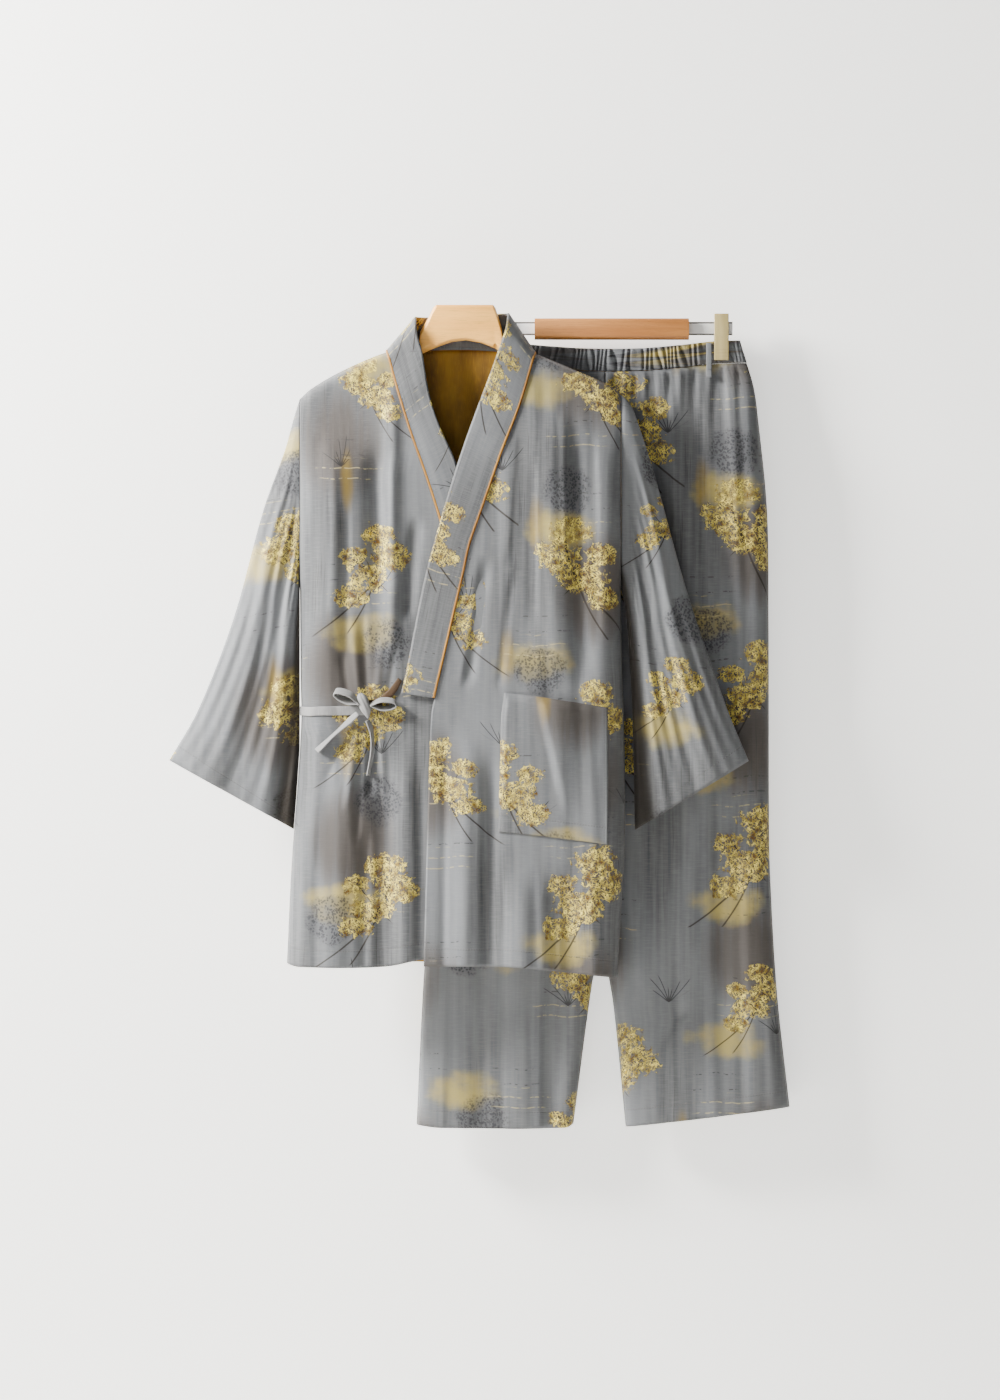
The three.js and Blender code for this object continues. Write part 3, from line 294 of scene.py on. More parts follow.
# %% The cloth's own maps, and noise that makes edges ragged
paint = Paint("printed_cloth")
x, y = spot = paint.uv("cloth")
beside, above = paint.uv("edges")
place = paint.join(x, y)
wobble = paint.noise(place, 38, 3)
rough = paint.noise(place, 150, 2)
x1 = x + (wobble - 0.5) * 0.012
y1 = y + (rough - 0.5) * 0.006

# %% Grey ground: cloudy washes and faint streaks down the cloth
cloud = paint.streaks(spot, (9, 2.8), 4)
drip = paint.streaks(spot, (150, 5), 3)
slub = paint.streaks(spot, (60, 900), 2)
paint.colour = paint.blend(cloud.step(0.34, 0.66), (0.066, 0.068, 0.073), (0.150, 0.158, 0.170))
paint.lay(((drip - 0.5) * 1.1 + 0.16).math("MAXIMUM", 0.0), (0.215, 0.22, 0.224))
paint.lay(slub.step(0.4, 0.75) * 0.18, (0.27, 0.27, 0.26))

# %% Warm brown-grey shade in broad patches, and dark hairlines down through it
sx, sy, chance = scatter(paint, x, y, (0.23, 0.26), 5.0, 0.2)
shade = (oval(sx, sy, (0, 0), (0.062, 0.074)) + (drip - 0.5) * 1.2 + (cloud - 0.5)).step(-0.2, 0.9)
paint.lay(shade * chance[2].step(0.15, 0.2) * 0.72, (0.055, 0.041, 0.031))
hairs = paint.streaks(spot, (420, 11), 2).step(0.6, 0.68) * cloud.step(0.5, 0.4)
paint.lay(hairs * 0.5, (0.035, 0.034, 0.036))

# %% Pale yellow clouds with soft edges, and tall ochre strokes beside some of them
wx, wy, chance = scatter(paint, x, y, (0.21, 0.165), 11.0, 0.3)
brush = paint.streaks(spot, (24, 34), 4)
mist = paint.streaks(spot, (80, 14), 3)
wash = oval(wx, wy, (0, 0), (0.052, 0.027)) + (brush - 0.5) * 2.4 + (mist - 0.5)
wash = wash.step(-0.2, 1.3) * chance[2].step(0.25, 0.3)
tall = (oval(wx, wy, (0.036, 0.006), (0.011, 0.04)) + (mist - 0.5) * 1.8).step(-0.2, 1.5)
paint.lay(wash * 0.72, (0.46, 0.36, 0.085))
paint.lay(tall * chance[1].step(0.5, 0.55) * 0.7, (0.26, 0.17, 0.02))

# %% Soft grey shrubs: a cloud of small dark dabs
bx, by, chance = scatter(paint, x, y, (0.21, 0.20), 23.0, 0.4)
dabs = paint.node("TexVoronoi", {"Vector": paint.join(x1, y1), "Scale": 330}, "Distance")
crown = oval(bx, by, (0, 0.01), (0.036, 0.034)) + (wobble - 0.5) * 1.3
shrub = crown.step(0.0, 0.55) * dabs.step(0.62, 0.3) * chance[2].step(0.3, 0.32)
paint.lay(crown.step(0, 0.6) * chance[2].step(0.3, 0.32) * 0.4, (0.05, 0.05, 0.056))
paint.lay(shrub * 0.75, (0.025, 0.025, 0.03))

# %% Reed tufts: thin dark blades that fan out of one point
rx, ry, chance = scatter(paint, x, y, (0.19, 0.17), 37.0, 0.5)
far = (rx * rx + ry * ry).math("SQRT")
angle = rx.math("ARCTAN2", ry)
blade = (angle * 11 + far * 30).math("SINE").math("ABSOLUTE") * far / 11
length = ((angle * 4.7 + chance[0] * 6).math("SINE") * 0.35 + 0.75) * 0.036
reeds = blade.step(0.00075, 0.0003) * (far - length).step(0.003, -0.003)
reeds = reeds * angle.math("ABSOLUTE").step(1.15, 0.9) * chance[2].step(0.35, 0.36)
paint.lay(reeds * 0.85, (0.018, 0.017, 0.018))

# %% Cream and dark strokes that run sideways, a few to each cell
cx, cy, chance = scatter(paint, x, y, (0.17, 0.13), 51.0, 0.5)
wave = cy + (paint.streaks(spot, (25, 4), 2) - 0.5) * 0.012
field = oval(cx, cy, (0, 0), (0.05, 0.018)).step(0, 0.5)
lines = (wave * 480).math("SINE").step(0.9, 0.98) * field
lines = lines * rough.step(0.42, 0.55) * chance[2].step(0.3, 0.31)
paint.lay(lines * 0.55, (0.46, 0.39, 0.20))
field = oval(cx, cy, (0.01, 0.03), (0.045, 0.022)).step(0, 0.5)
ink = (wave * 330 + 1.3).math("SINE").step(0.94, 0.99) * field
paint.lay(ink * rough.step(0.5, 0.58) * 0.7, (0.035, 0.034, 0.034))

# %% Gold sprays: leaf pads along an arching dark twig
gx, gy, chance = scatter(paint, x, y, (0.176, 0.205), 3.0, 0.2)
keep = chance[2].math("PINGPONG", 0.5).step(0.08, 0.085)
small = chance[1] * 0.6 + 0.96
gx, gy = gx * small, gy * small
pads = [((-0.036, -0.034), (0.026, 0.016)), ((-0.010, -0.008), (0.034, 0.021)),
        ((0.024, 0.020), (0.034, 0.022)), ((0.008, 0.050), (0.030, 0.018)),
        ((-0.034, 0.022), (0.021, 0.014))]
pad = oval(gx, gy, *pads[0])
for middle, half in pads[1:]:
    pad = pad.math("MAXIMUM", oval(gx, gy, middle, half))
pad = pad + (wobble - 0.5) * 2.2
strokes = [brush_marks(paint, x1, y1, *mark) for mark in ((0.6, 150), (-0.5, 170), (1.7, 140))]
leaf = strokes[0].math("MAXIMUM", strokes[1]).math("MAXIMUM", strokes[2])
tone = paint.noise(place, 95, 3)
twig = stroke(gx, gy, (0.004, 0.55, -6.0), 0.0027, (-0.092, 0.045))
side_twig = stroke(gx, gy, (-0.012, -0.9, 5.0), 0.0014, (-0.03, 0.035))
root = stroke(gx, gy, (0.0, 0.2, -3.5), 0.0019, (-0.088, -0.01))
twigs = twig.math("MAXIMUM", side_twig).math("MAXIMUM", root) * keep
ragged = pad + (rough - 0.5) * 2.2
gold = ragged.step(0.0, 0.3) * leaf.step(0.55, 0.59) * keep
under = ragged.step(-0.2, 0.9) * keep
outline = (leaf - 0.535).math("ABSOLUTE").step(0.026, 0.008) * ragged.step(-0.1, 0.3) * keep
paint.lay(under * 0.5, (0.14, 0.092, 0.03))
paint.lay(twigs * 0.85, (0.022, 0.016, 0.012))
leaves = paint.node("ValToRGB", {0: tone}, stops=[
    (0.33, (0.11, 0.05, 0.004)), (0.68, (0.95, 0.78, 0.17)), (0.43, (0.36, 0.20, 0.008)),
    (0.55, (0.66, 0.46, 0.03))])
paint.lay(gold, leaves)
paint.lay(outline * wobble.step(0.34, 0.5) * 0.95, (0.022, 0.014, 0.006))

# %% Stitching along hems, a row of short dashes, and the fold of the hem itself
hem = (above - 0.021).math("ABSOLUTE").step(0.0011, 0.0004)
dash, side_dash = ((along * 1800).math("SINE").step(-0.5, 0.1) for along in spot)
edge = beside.math("ABSOLUTE")
side = (edge - 0.004).math("ABSOLUTE").step(0.0008, 0.0003)
seam = edge.step(0.0022, 0.0004).math("MAXIMUM", above.step(0.0016, 0.0002))
stitch = (hem * dash).math("MAXIMUM", side * side_dash * 0.6)
paint.lay(stitch * 0.35 + seam * 0.25, (0.12, 0.115, 0.11))

# %% Painted shade along an edge that is tucked in beside the body, where the body shades it
tucked_edge_shade = beside.step(0.050, 0.020) * beside.math("GREATER_THAN", 0.0)
paint.lay(tucked_edge_shade * 0.9, (0.016, 0.011, 0.006))

# %% Weave: a fine twill, raised where the gold threads float
height = twill(x, y) * 0.11 + rough * 0.35 + gold * 0.5 + twigs * 0.2 - stitch * 0.8 - hem * 0.25
paint.bump(height + drip * 0.6, 0.00045, 0.8)
cloth = paint.finish(Base_Color=paint.colour, Roughness=0.66 - gold * 0.2 - wash * 0.05,
                     Sheen_Weight=0.08, Sheen_Roughness=0.45, Specular_IOR_Level=0.3)
print("print nodes", len(cloth.node_tree.nodes))

# %% [markdown]
# The wrong side of the jacquard is mustard, and darker in streaks. Plain grey cloth of the same
# weave makes the ties. The strap is folded so that its inside shows: the wrong side's own brown,
# made much darker as painted shade.

# %% Wrong side of the cloth, plain cloth and piping
def plain_cloth(name, light, dark, streak, sheen=0.12):
    """Woven cloth of one colour that wavers between two tones in streaks down the piece."""
    paint = Paint(name)
    x, y = spot = paint.uv("cloth")
    drip = paint.streaks(spot, (streak, 6), 4)
    fine = paint.streaks(spot, (700, 90), 2)
    paint.colour = paint.blend(drip.step(0.3, 0.7), dark, light)
    paint.lay(fine.step(0.45, 0.8) * 0.25, tuple(min(1, v * 1.5) for v in light))
    paint.bump(twill(x, y) * 0.2 + fine * 0.5 + drip * 0.5, 0.0004, 0.8)
    return paint.finish(Base_Color=paint.colour, Roughness=0.7 - fine * 0.1, Sheen_Weight=sheen,
                        Sheen_Roughness=0.5, Specular_IOR_Level=0.35)


wrong_side = plain_cloth("mustard_wrong_side", (0.29, 0.15, 0.003), (0.10, 0.043, 0.001), 22)
# The strap's inside: the wrong side's brown, much darker than the mustard, as painted shade
shaded_tie_inside = plain_cloth("brown_tie_inside", (0.07, 0.036, 0.012), (0.035, 0.018, 0.008), 60)
grey_tie = plain_cloth("grey_tie_cloth", (0.25, 0.248, 0.245), (0.17, 0.168, 0.171), 60)
gold_piping = plain_cloth("gold_piping", (0.36, 0.175, 0.03), (0.17, 0.07, 0.01), 90, sheen=0.0)

# %% [markdown]
# ## Smooth curves through measured points
# A pattern cutter draws a garment with a curve ruler through a few measured points. The same is
# done here: `curve` gives a smooth function through a short table. Every length in the tables is
# in millimetres, seen from the front: x to the right, z up, from the top of the jacket's hanger.

# %% Curve ruler and soft steps
def clamp(value, low=0.0, high=1.0):
    return min(max(value, low), high)


def mix(a, b, share):
    return a + (b - a) * share


def soft(share):
    """Rises from 0 to 1 with a soft start and a soft end."""
    s = clamp(share)
    return s * s * (3 - 2 * s)


def round_off(share):
    """A quarter circle: 0 at a seam, 1 where the cloth has turned to lie flat."""
    s = 1 - clamp(share)
    return math.sqrt(1 - s * s)


def curve(rows):
    """A smooth function through rows of (place, value)."""
    at = [row[0] for row in rows]
    value = [row[1] for row in rows]
    last = len(rows) - 1
    slope = []
    for i in range(len(rows)):
        a, b = max(i - 1, 0), min(i + 1, last)
        slope.append((value[b] - value[a]) / (at[b] - at[a]))
    way = 1 if at[last] > at[0] else -1

    def through(place):
        i = 0
        while i < last - 1 and (place - at[i + 1]) * way > 0:
            i += 1
        span = at[i + 1] - at[i]
        s = clamp((place - at[i]) / span)
        rise = value[i + 1] - value[i]
        a = slope[i] * span - rise
        b = rise - slope[i + 1] * span
        return value[i] + rise * s + s * (1 - s) * (a * (1 - s) + b * s)
    return through


# %% Jacket outline, as measured
armhole_left, armhole_right, underarm = -207.5, 193.5, -356
neck_left, neck_right = (-98.8, -58.8), (86.2, -61.2)
left_foot, right_foot = (-223.8, -822.5), (189.4, -840)
over_foot, under_foot = (-52.5, -825), (40, -816)
shoulder_rows = [(armhole_left, -117.5), (-193, -104.5), (-155, -82.5), neck_left, (-6, -34),
                 neck_right, (145, -85), (184, -103), (armhole_right, -112.5)]
shoulder = curve(shoulder_rows)
back_neck = curve([neck_left, (-6, -56), neck_right])
left_below = curve([(underarm, armhole_left), (-470, -206.5), (-520, -205.8), (-600, -210.5),
                    (-700, -218), (left_foot[1], left_foot[0])])
right_below = curve([(underarm, armhole_right), (-461, 195.6), (-521, 197.5), (-612, 199),
                     (-694, 198), (-784, 192.5), (right_foot[1], right_foot[0])])
over_edge = curve([(-61.2, 86.2), (-126, 67.5), (-188, 43.8), (-255, 20.6), (-300, 5),
                   (-334, -2.5), (-409, -20), (-490, -38.8), (-512, -43), (-591, -46.2),
                   (-825, -52.5)])
under_edge = curve([(-58.8, -98.8), (-110, -85), (-161, -69.2), (-215, -50), (-270, -32.5),
                    (-355, -10), (-490, 26.2), (-512, 29.2), (-816, 40)])
over_hem = curve([over_foot, (54.5, -826), (126, -833), right_foot])
under_hem = curve([left_foot, (-208, -826), (-104, -826), (-53, -817), under_foot])
back_hem = curve([left_foot, (-10, -823), right_foot])
front_depth = curve([(-60, 33), (-300, 35), (-510, 32), (-660, 38), (-830, 42)])
back_depth = curve([(-60, 19), (-300, 21), (-830, 24)])


def left_side(z):
    return armhole_left if z > underarm else left_below(z)


def right_side(z):
    return armhole_right if z > underarm else right_below(z)


print("chest", armhole_right - armhole_left, "mm across, hem", right_foot[0] - left_foot[0], "mm")

# %% [markdown]
# ## Folds
# Cloth that hangs shows long uneven folds, not noise. Each is listed: where its line starts and
# ends, how wide it is on its left and on its right, and how far it stands out or in.
# One with a steep side reads as a crease. A much smaller ripple runs between them.

# %% The folds of the front and the back
front_folds = [
    # x top, z top, x foot, z foot, left width, right width, out
    (-110, -165, -107, -375, 15, 15, -6.8), (-91, -75, -92, -485, 10, 10, 5.4),
    (-170, -140, -180, -485, 26, 26, 4.1), (-62, -262, -74, -400, 8, 8, -5.4),
    (-117, -522, -121, -620, 6, 6, -6.8), (-149, -535, -170, -950, 18, 18, 6.8),
    (-101, -540, -104, -950, 14, 14, -6.8), (-76, -525, -72, -950, 13, 13, 5.4),
    (26, -310, 0, -485, 8, 8, -4.1), (102, -110, 112, -480, 18, 18, 5.4),
    (138, -140, 147, -500, 12, 12, -5.4), (5, -515, -6, -950, 16, 16, 6.8),
    (31, -545, 26, -950, 11, 11, -5.4), (67, -690, 73, -1000, 18, 18, 6.8),
    (124, -695, 134, -1000, 16, 16, -6.8),
    # Finer creases
    (-112, -190, -108, -345, 20, 5, -3.6), (-94, -185, -96, -345, 4, 8, 2.7),
    (-146, -230, -150, -470, 9, 4, -2.0), (-163, -180, -168, -420, 5, 10, 1.7),
    (-186, -150, -190, -330, 6, 9, -2.1), (-128, -380, -124, -492, 8, 4, -2.4),
    (-141, -400, -133, -492, 4, 7, 2.1), (-155, -430, -146, -492, 6, 4, -2.0),
    (-104, -410, -112, -492, 4, 6, 2.0), (-86, -420, -98, -492, 5, 4, -2.1),
    (-134, -512, -150, -640, 4, 8, 2.4), (-128, -515, -136, -680, 7, 3, -3.0),
    (-110, -515, -98, -640, 3, 8, 2.2), (-140, -512, -176, -600, 6, 4, -1.8),
    (-195, -505, -200, -600, 5, 7, -2.7), (-186, -515, -192, -720, 7, 5, 2.2),
    (-121, -640, -130, -900, 9, 4, -2.7), (-88, -600, -86, -900, 5, 9, 2.1),
    (-58, -560, -60, -900, 5, 6, -1.8), (62, -150, 50, -330, 10, 5, 1.7),
    (84, -180, 86, -420, 8, 4, -2.1), (120, -120, 126, -330, 5, 9, 1.8),
    (158, -150, 166, -440, 9, 5, -2.5), (178, -170, 182, -470, 6, 8, 2.0),
    (60, -330, 40, -490, 6, 5, -1.8), (14, -360, -8, -480, 5, 7, 1.8),
    (-24, -520, -28, -900, 7, 4, -2.1), (18, -560, 14, -900, 5, 8, 1.8),
    (46, -700, 48, -1000, 8, 4, -2.2), (92, -690, 98, -1000, 5, 9, 2.1),
    (110, -700, 114, -1000, 9, 4, -2.2), (156, -690, 162, -1000, 5, 8, 2.2),
    (175, -560, 172, -1000, 8, 5, -2.1),
]
back_folds = [
    (-150, -120, -160, -950, 24, 24, 3), (-95, -160, -104, -950, 18, 18, -3),
    (-40, -110, -46, -950, 22, 22, 3), (20, -200, 12, -950, 18, 18, -3),
    (84, -130, 80, -950, 24, 24, 3), (136, -240, 142, -950, 16, 16, -3),
    (-170, -180, -178, -620, 8, 4, -1.5), (-124, -140, -130, -560, 5, 10, 1.3),
    (-70, -320, -74, -900, 9, 5, -1.6), (-18, -150, -16, -620, 6, 9, 1.3),
    (44, -260, 48, -900, 8, 5, -1.5), (110, -160, 114, -700, 5, 9, 1.4),
    (160, -300, 164, -900, 8, 5, -1.4), (60, -560, 56, -950, 7, 9, 1.3),
]


def fold_height(folds, x, z):
    """The height of all the folds of a table at one place."""
    total = 0.0
    for x_top, z_top, x_foot, z_foot, left, right, out in folds:
        share = (z - z_top) / (z_foot - z_top)
        if not 0 < share < 1:
            continue
        away = x - mix(x_top, x_foot, share)
        width = left if away < 0 else right
        if abs(away) > 3 * width:
            continue
        fade = soft(share / 0.2) * soft((1 - share) / 0.2)
        total += out * fade * math.exp(-(away / width) ** 2)
    return total


def ripple(x, z, size):
    """Small waves down the cloth, stronger in some places than in others."""
    bend = 1.4 * math.sin(z / 190 + x / 160)
    strength = 0.5 + 0.5 * math.sin(x / 57 + z / 230 + 1)
    long_wave = math.sin(x / 5.6 + bend)
    short_wave = math.sin(x / 3.1 - 1.7 * bend + z / 90)
    return size * strength * (0.6 * long_wave + 0.25 * short_wave)


print("folds", len(front_folds), "in front and", len(back_folds), "behind")

# %% [markdown]
# ## The jacket's body
# Seen from above, the hanging body is a flat oval: it starts at the side seams, turns over a
# radius and then hangs nearly flat. `body_depth` says how far it stands out at each place, and the
# folds are added to that. Cloth simulation would drape it by itself, but the folds would not fall
# where the real ones do.

# %% How far the body stands out
def oval_depth(half, share):
    return half * math.sqrt(max(1 - abs(share) ** 3, 0))


def body_depth(x, z, depth, folds):
    from_left, from_right = x - left_side(z), right_side(z) - x
    drop = shoulder(x) - z
    tip = shoulder_rows[0][1] if from_left < from_right else shoulder_rows[-1][1]
    seam = 0.0
    if z > underarm:
        middle = (tip + underarm) / 2
        seam = oval_depth(15, clamp((z - middle) / (tip - middle), -1, 1))
    shoulder_turn = 13
    hang = (shoulder_turn * round_off(drop / shoulder_turn)
            + (depth(z) - shoulder_turn) * soft(drop / 150))
    edge = min(from_left, from_right)
    calm = soft(edge / 45) * soft(drop / 60)
    creases = fold_height(folds, x, z) + ripple(x, z, 0.95)
    return seam + (hang - seam) * round_off(edge / 30) + calm * creases


def front_stand(x, z):
    return body_depth(x, z, front_depth, front_folds)


def wrap_over(x, z):
    """The right front lies over the left one, so it stands further out where they cross."""
    return 4.2 * soft((165 - x) / 90) * soft((shoulder(x) - z) / 55)


# %% A four-sided panel between its edges
def panel(left, right, top, bottom, depth):
    """A function from shares across and down to a point of the panel."""
    corners = left(0), right(0), left(1), right(1)

    def place(u, v):
        beside, other, above, below = left(v), right(v), top(u), bottom(u)
        x, z = (mix(beside[k], other[k], u) + mix(above[k], below[k], v)
                - mix(mix(corners[0][k], corners[1][k], u), mix(corners[2][k], corners[3][k], u), v)
                for k in (0, 1))
        return Vector((x, depth(x, z), z))
    return place


under_down = curve([(0, neck_left[1]), (0.545, -498), (1, under_foot[1])])
side_left_z = lambda v: mix(shoulder_rows[0][1], left_foot[1], v)
side_right_z = lambda v: mix(shoulder_rows[-1][1], right_foot[1], v)
over_down = lambda v: mix(neck_right[1], over_foot[1], v)
at_x = lambda line, start, end: (lambda u: (mix(start, end, u), line(mix(start, end, u))))

under_front = panel(
    lambda v: (left_side(side_left_z(v)), side_left_z(v)),
    lambda v: (under_edge(under_down(v)), under_down(v)),
    at_x(shoulder, armhole_left, neck_left[0]), at_x(under_hem, left_foot[0], under_foot[0]),
    lambda x, z: min(-front_stand(x, z), -0.15))
over_front = panel(
    lambda v: (over_edge(over_down(v)), over_down(v)),
    lambda v: (right_side(side_right_z(v)), side_right_z(v)),
    at_x(shoulder, neck_right[0], armhole_right), at_x(over_hem, over_foot[0], right_foot[0]),
    lambda x, z: min(-front_stand(x, z) - wrap_over(x, z), -0.15))
back_top = lambda x: back_neck(x) if neck_left[0] < x < neck_right[0] else shoulder(x)
back_panel = panel(
    lambda v: (left_side(side_left_z(v)), side_left_z(v)),
    lambda v: (right_side(side_right_z(v)), side_right_z(v)),
    at_x(back_top, armhole_left, armhole_right), at_x(back_hem, left_foot[0], right_foot[0]),
    lambda x, z: max(body_depth(x, z, back_depth, back_folds), 0.15))


# %% [markdown]
# ## From a function to a piece of cloth
# Every cloth piece starts as a flat grid from `create_grid`. Its vertices are moved to the places
# that the piece's function gives, so a grid square becomes a square of cloth. Two UV maps go with
# it: `cloth` lays the print in real metres along the surface, so that it never stretches, and
# `edges` holds the distance to the nearest seam and to the hem, for the stitching. The first is
# kept negative, unless the edge is tucked in beside the body, where the print paints shade along
# it. Solidify then gives the cloth its thickness towards the inside, with the wrong side's colour
# there.

# %% Lengths along a line, and an object from a bmesh
def lengths_along(points):
    """The length of a line of points up to each of them."""
    lengths = [0.0]
    for a, b in zip(points, points[1:]):
        lengths.append(lengths[-1] + (b - a).length)
    return lengths


def finish_piece(name, bm, finishes, node):
    """Turns a bmesh into an object that rides on the set and stands for its CAD node."""
    mesh = bpy.data.meshes.new(name)
    bm.to_mesh(mesh)
    bm.free()
    for material in finishes:
        mesh.materials.append(material)
    mesh.shade_smooth()
    piece = bpy.data.objects.new(name, mesh)
    bpy.context.collection.objects.link(piece)
    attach(piece, "root")
    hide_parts(node)
    return piece


# %% Grid, maps and thickness
both = [cloth, wrong_side]
no_seam = 500


def cloth_piece(name, place, across, down, node, finishes=both, print_at=(0, 0), thick=0.8,
                closed=False, map_place=None, outward=(0, -1, 0), seams=(True, True), hem=True,
                tucked_edge_shade=False, slot="cloth"):
    """Makes one piece of cloth from a function place(u, v) in millimetres."""
    points = [[place(i / across, j / down) for i in range(across + 1)] for j in range(down + 1)]
    middle = across // 2
    arcs = [lengths_along(row) for row in points]
    drops = lengths_along([row[middle] for row in points])
    bm = bmesh.new()
    cloth_map, edge_map = bm.loops.layers.uv.new("cloth"), bm.loops.layers.uv.new("edges")
    bmesh.ops.create_grid(bm, x_segments=across, y_segments=down, size=0.5)
    where = {}
    for v in bm.verts:
        i, j = where[v.index] = round((v.co.x + 0.5) * across), round((0.5 - v.co.y) * down)
        v.co = points[j][i] * 0.001
    for face in bm.faces:
        for loop in face.loops:
            i, j = where[loop.vert.index]
            row, arc = points[j], arcs[j]
            if map_place:
                x, y = map_place(i / across, j / down, arc[i], drops[j])
            else:
                way = 1 if row[across].x > row[0].x else -1
                x, y = row[middle].x + way * (arc[i] - arc[middle]), row[i].z
            loop[cloth_map].uv = ((x + print_at[0]) * 0.001, (y + print_at[1]) * 0.001)
            beside = min(arc[i] if seams[0] else no_seam,
                         arc[across] - arc[i] if seams[1] else no_seam)
            above = drops[down] - drops[j] if hem else no_seam
            # A tucked edge keeps its distance positive, so that the print paints shade along it
            loop[edge_map].uv = (beside * (0.001 if tucked_edge_shade else -0.001), above * 0.001)
    if closed:
        bmesh.ops.remove_doubles(bm, verts=bm.verts, dist=1e-6)
    bm.normal_update()
    aim = outward if callable(outward) else (lambda point: outward)
    facing = sum(face.normal.dot(Vector(aim(face.calc_center_median() * 1000))) for face in bm.faces)
    if facing < 0:
        bmesh.ops.reverse_faces(bm, faces=bm.faces)
    area = sum(face.calc_area() for face in bm.faces)
    piece = finish_piece(name, bm, finishes, node)
    shell = piece.modifiers.new("thickness", "SOLIDIFY")
    shell.thickness = thick * 0.001
    shell.offset = -1
    shell.use_even_offset = False
    shell.material_offset = len(finishes) - 1
    print(name, "area", round(area, 4), "m2, across", round(arcs[down // 2][across] / 1000, 3),
          "down", round(drops[down] / 1000, 3))
    return piece


# %% Jacket fronts and back
left_front = cloth_piece("jacket_left_front", under_front, 100, 170, "front_under",
                         print_at=(30, 40), seams=(True, False))
right_front = cloth_piece("jacket_right_front", over_front, 100, 170, "front_over",
                          print_at=(640, 300), seams=(False, True))
back = cloth_piece("jacket_back_panel", back_panel, 130, 150, "jacket_back",
                   print_at=(1400, 120), outward=(0, 1, 0))

# %% [markdown]
# ## Collar band and piping
# One long double band runs from the end of the left front's neck edge round the back of the neck
# to the right front's. Its seam edge follows the fronts, and its free edge has its own table. A
# thin gold piping is caught in the seam. Both are swept along the same pairs of points.

# %% Pairs of points along the band
free_left = curve([(-15.6, -62), (-37.5, -60.5), (-58.8, -54.5), (-110, -46.2), (-149, -34),
                   (-200, -11.7), (-300, 15), (-484, 68)])
free_right = curve([(-11, 52), (-29, 49.5), (-47.5, 43.5), (-91, 28.5), (-134, 12.5),
                    (-200, -10.6), (-278, -34), (-345, -51.9), (-462, -75), (-484, -80.5)])
band_rise = curve([(-58, 44), (-75, 38), (-110, 31), (-255, 18), (-490, 6)])
neck_roll = curve([(-12, 0), (-24, 12), (-38, 16.5), (-60, 19.5), (-110, 22), (-160, 20)])
band_end = -491.5


def band_pair(seam, free, over):
    """The seam point and the free point across from it, on one of the fronts."""
    z = seam.z + band_rise(seam.z)
    x = free(z)
    out = max(neck_roll(z) * soft((z + 160) / 40), front_stand(x, z))
    lift = wrap_over(x, z) if over else 0
    return seam, Vector((x, -(out + lift), z))


def share_at(down, z):
    """The share down an edge at which it reaches a height."""
    low, high = 0.0, 1.0
    for _ in range(30):
        middle = (low + high) / 2
        low, high = (middle, high) if down(middle) > z else (low, middle)
    return low


def band_pairs():
    left_end, right_end = share_at(under_down, band_end), share_at(over_down, band_end)
    front_steps, neck_steps = 90, 30
    pairs = []
    for k in range(front_steps):
        v = left_end * (1 - k / front_steps)
        pairs.append(band_pair(under_front(1, v), free_left, False))
    for k in range(neck_steps + 1):
        share = k / neck_steps
        x = mix(neck_left[0], neck_right[0], share)
        z = back_neck(x)
        seam = Vector((x, max(body_depth(x, z, back_depth, back_folds), 0.15), z))
        y = 13.6 * math.sqrt(max(1 - (2 * share - 1) ** 4, 0))
        pairs.append((seam, Vector((mix(-62, 52, share), y, mix(-15.6, -11, share)))))
    for k in range(1, front_steps + 1):
        v = right_end * k / front_steps
        pairs.append(band_pair(over_front(0, v), free_right, True))
    return pairs


pairs = band_pairs()
print("band pairs", len(pairs))

# %% The band and the piping
def along_pairs(share):
    place = share * (len(pairs) - 1)
    i = min(int(place), len(pairs) - 2)
    return tuple(a.lerp(b, place - i) for a, b in zip(pairs[i], pairs[i + 1]))


def band_place(u, v):
    seam, free = along_pairs(v)
    point = seam.lerp(free, mix(0.012, 1, u))
    return point + Vector((0, -0.5 * math.sin(math.pi * u) * soft(abs(v - 0.5) * 12 - 1), 0))


band = cloth_piece("collar_band_cloth", band_place, 14, 420, "collar_band", [cloth],
                   print_at=(2300, 90), thick=2.0, outward=(0, 1, 0.2), hem=False,
                   map_place=lambda u, v, arc, drop: (arc, drop * (1 if v < 0.5 else -1)))


def piping_place(u, v):
    seam, free = along_pairs(v)
    before, after = along_pairs(max(v - 0.004, 0))[0], along_pairs(min(v + 0.004, 1))[0]
    along = (after - before).normalized()
    across = free - seam
    across = (across - along * across.dot(along)).normalized()
    out = across.cross(along).normalized()
    angle = 2 * math.pi * u
    twist = 0.036 * math.sin(v * 900)
    return (seam + across * (1.1 + 1.7 * math.cos(angle))
            + out * (1.5 + 1.0 * math.sin(angle) + twist))


piping = cloth_piece("neck_piping", piping_place, 10, 420, "collar_piping", [gold_piping],
                     thick=0.4, closed=True, hem=False, seams=(False, False), slot="piping",
                     outward=(0, 1, 0.2), map_place=lambda u, v, arc, drop: (arc, drop))

# %% [markdown]
# ## Sleeves
# A kimono sleeve is a wide flat tube. It's a grid whose two sides meet underneath. Round the tube,
# the cloth runs over the front, up over the fold and down behind, so its print is laid by the
# length round the tube and not by what is seen from the front.

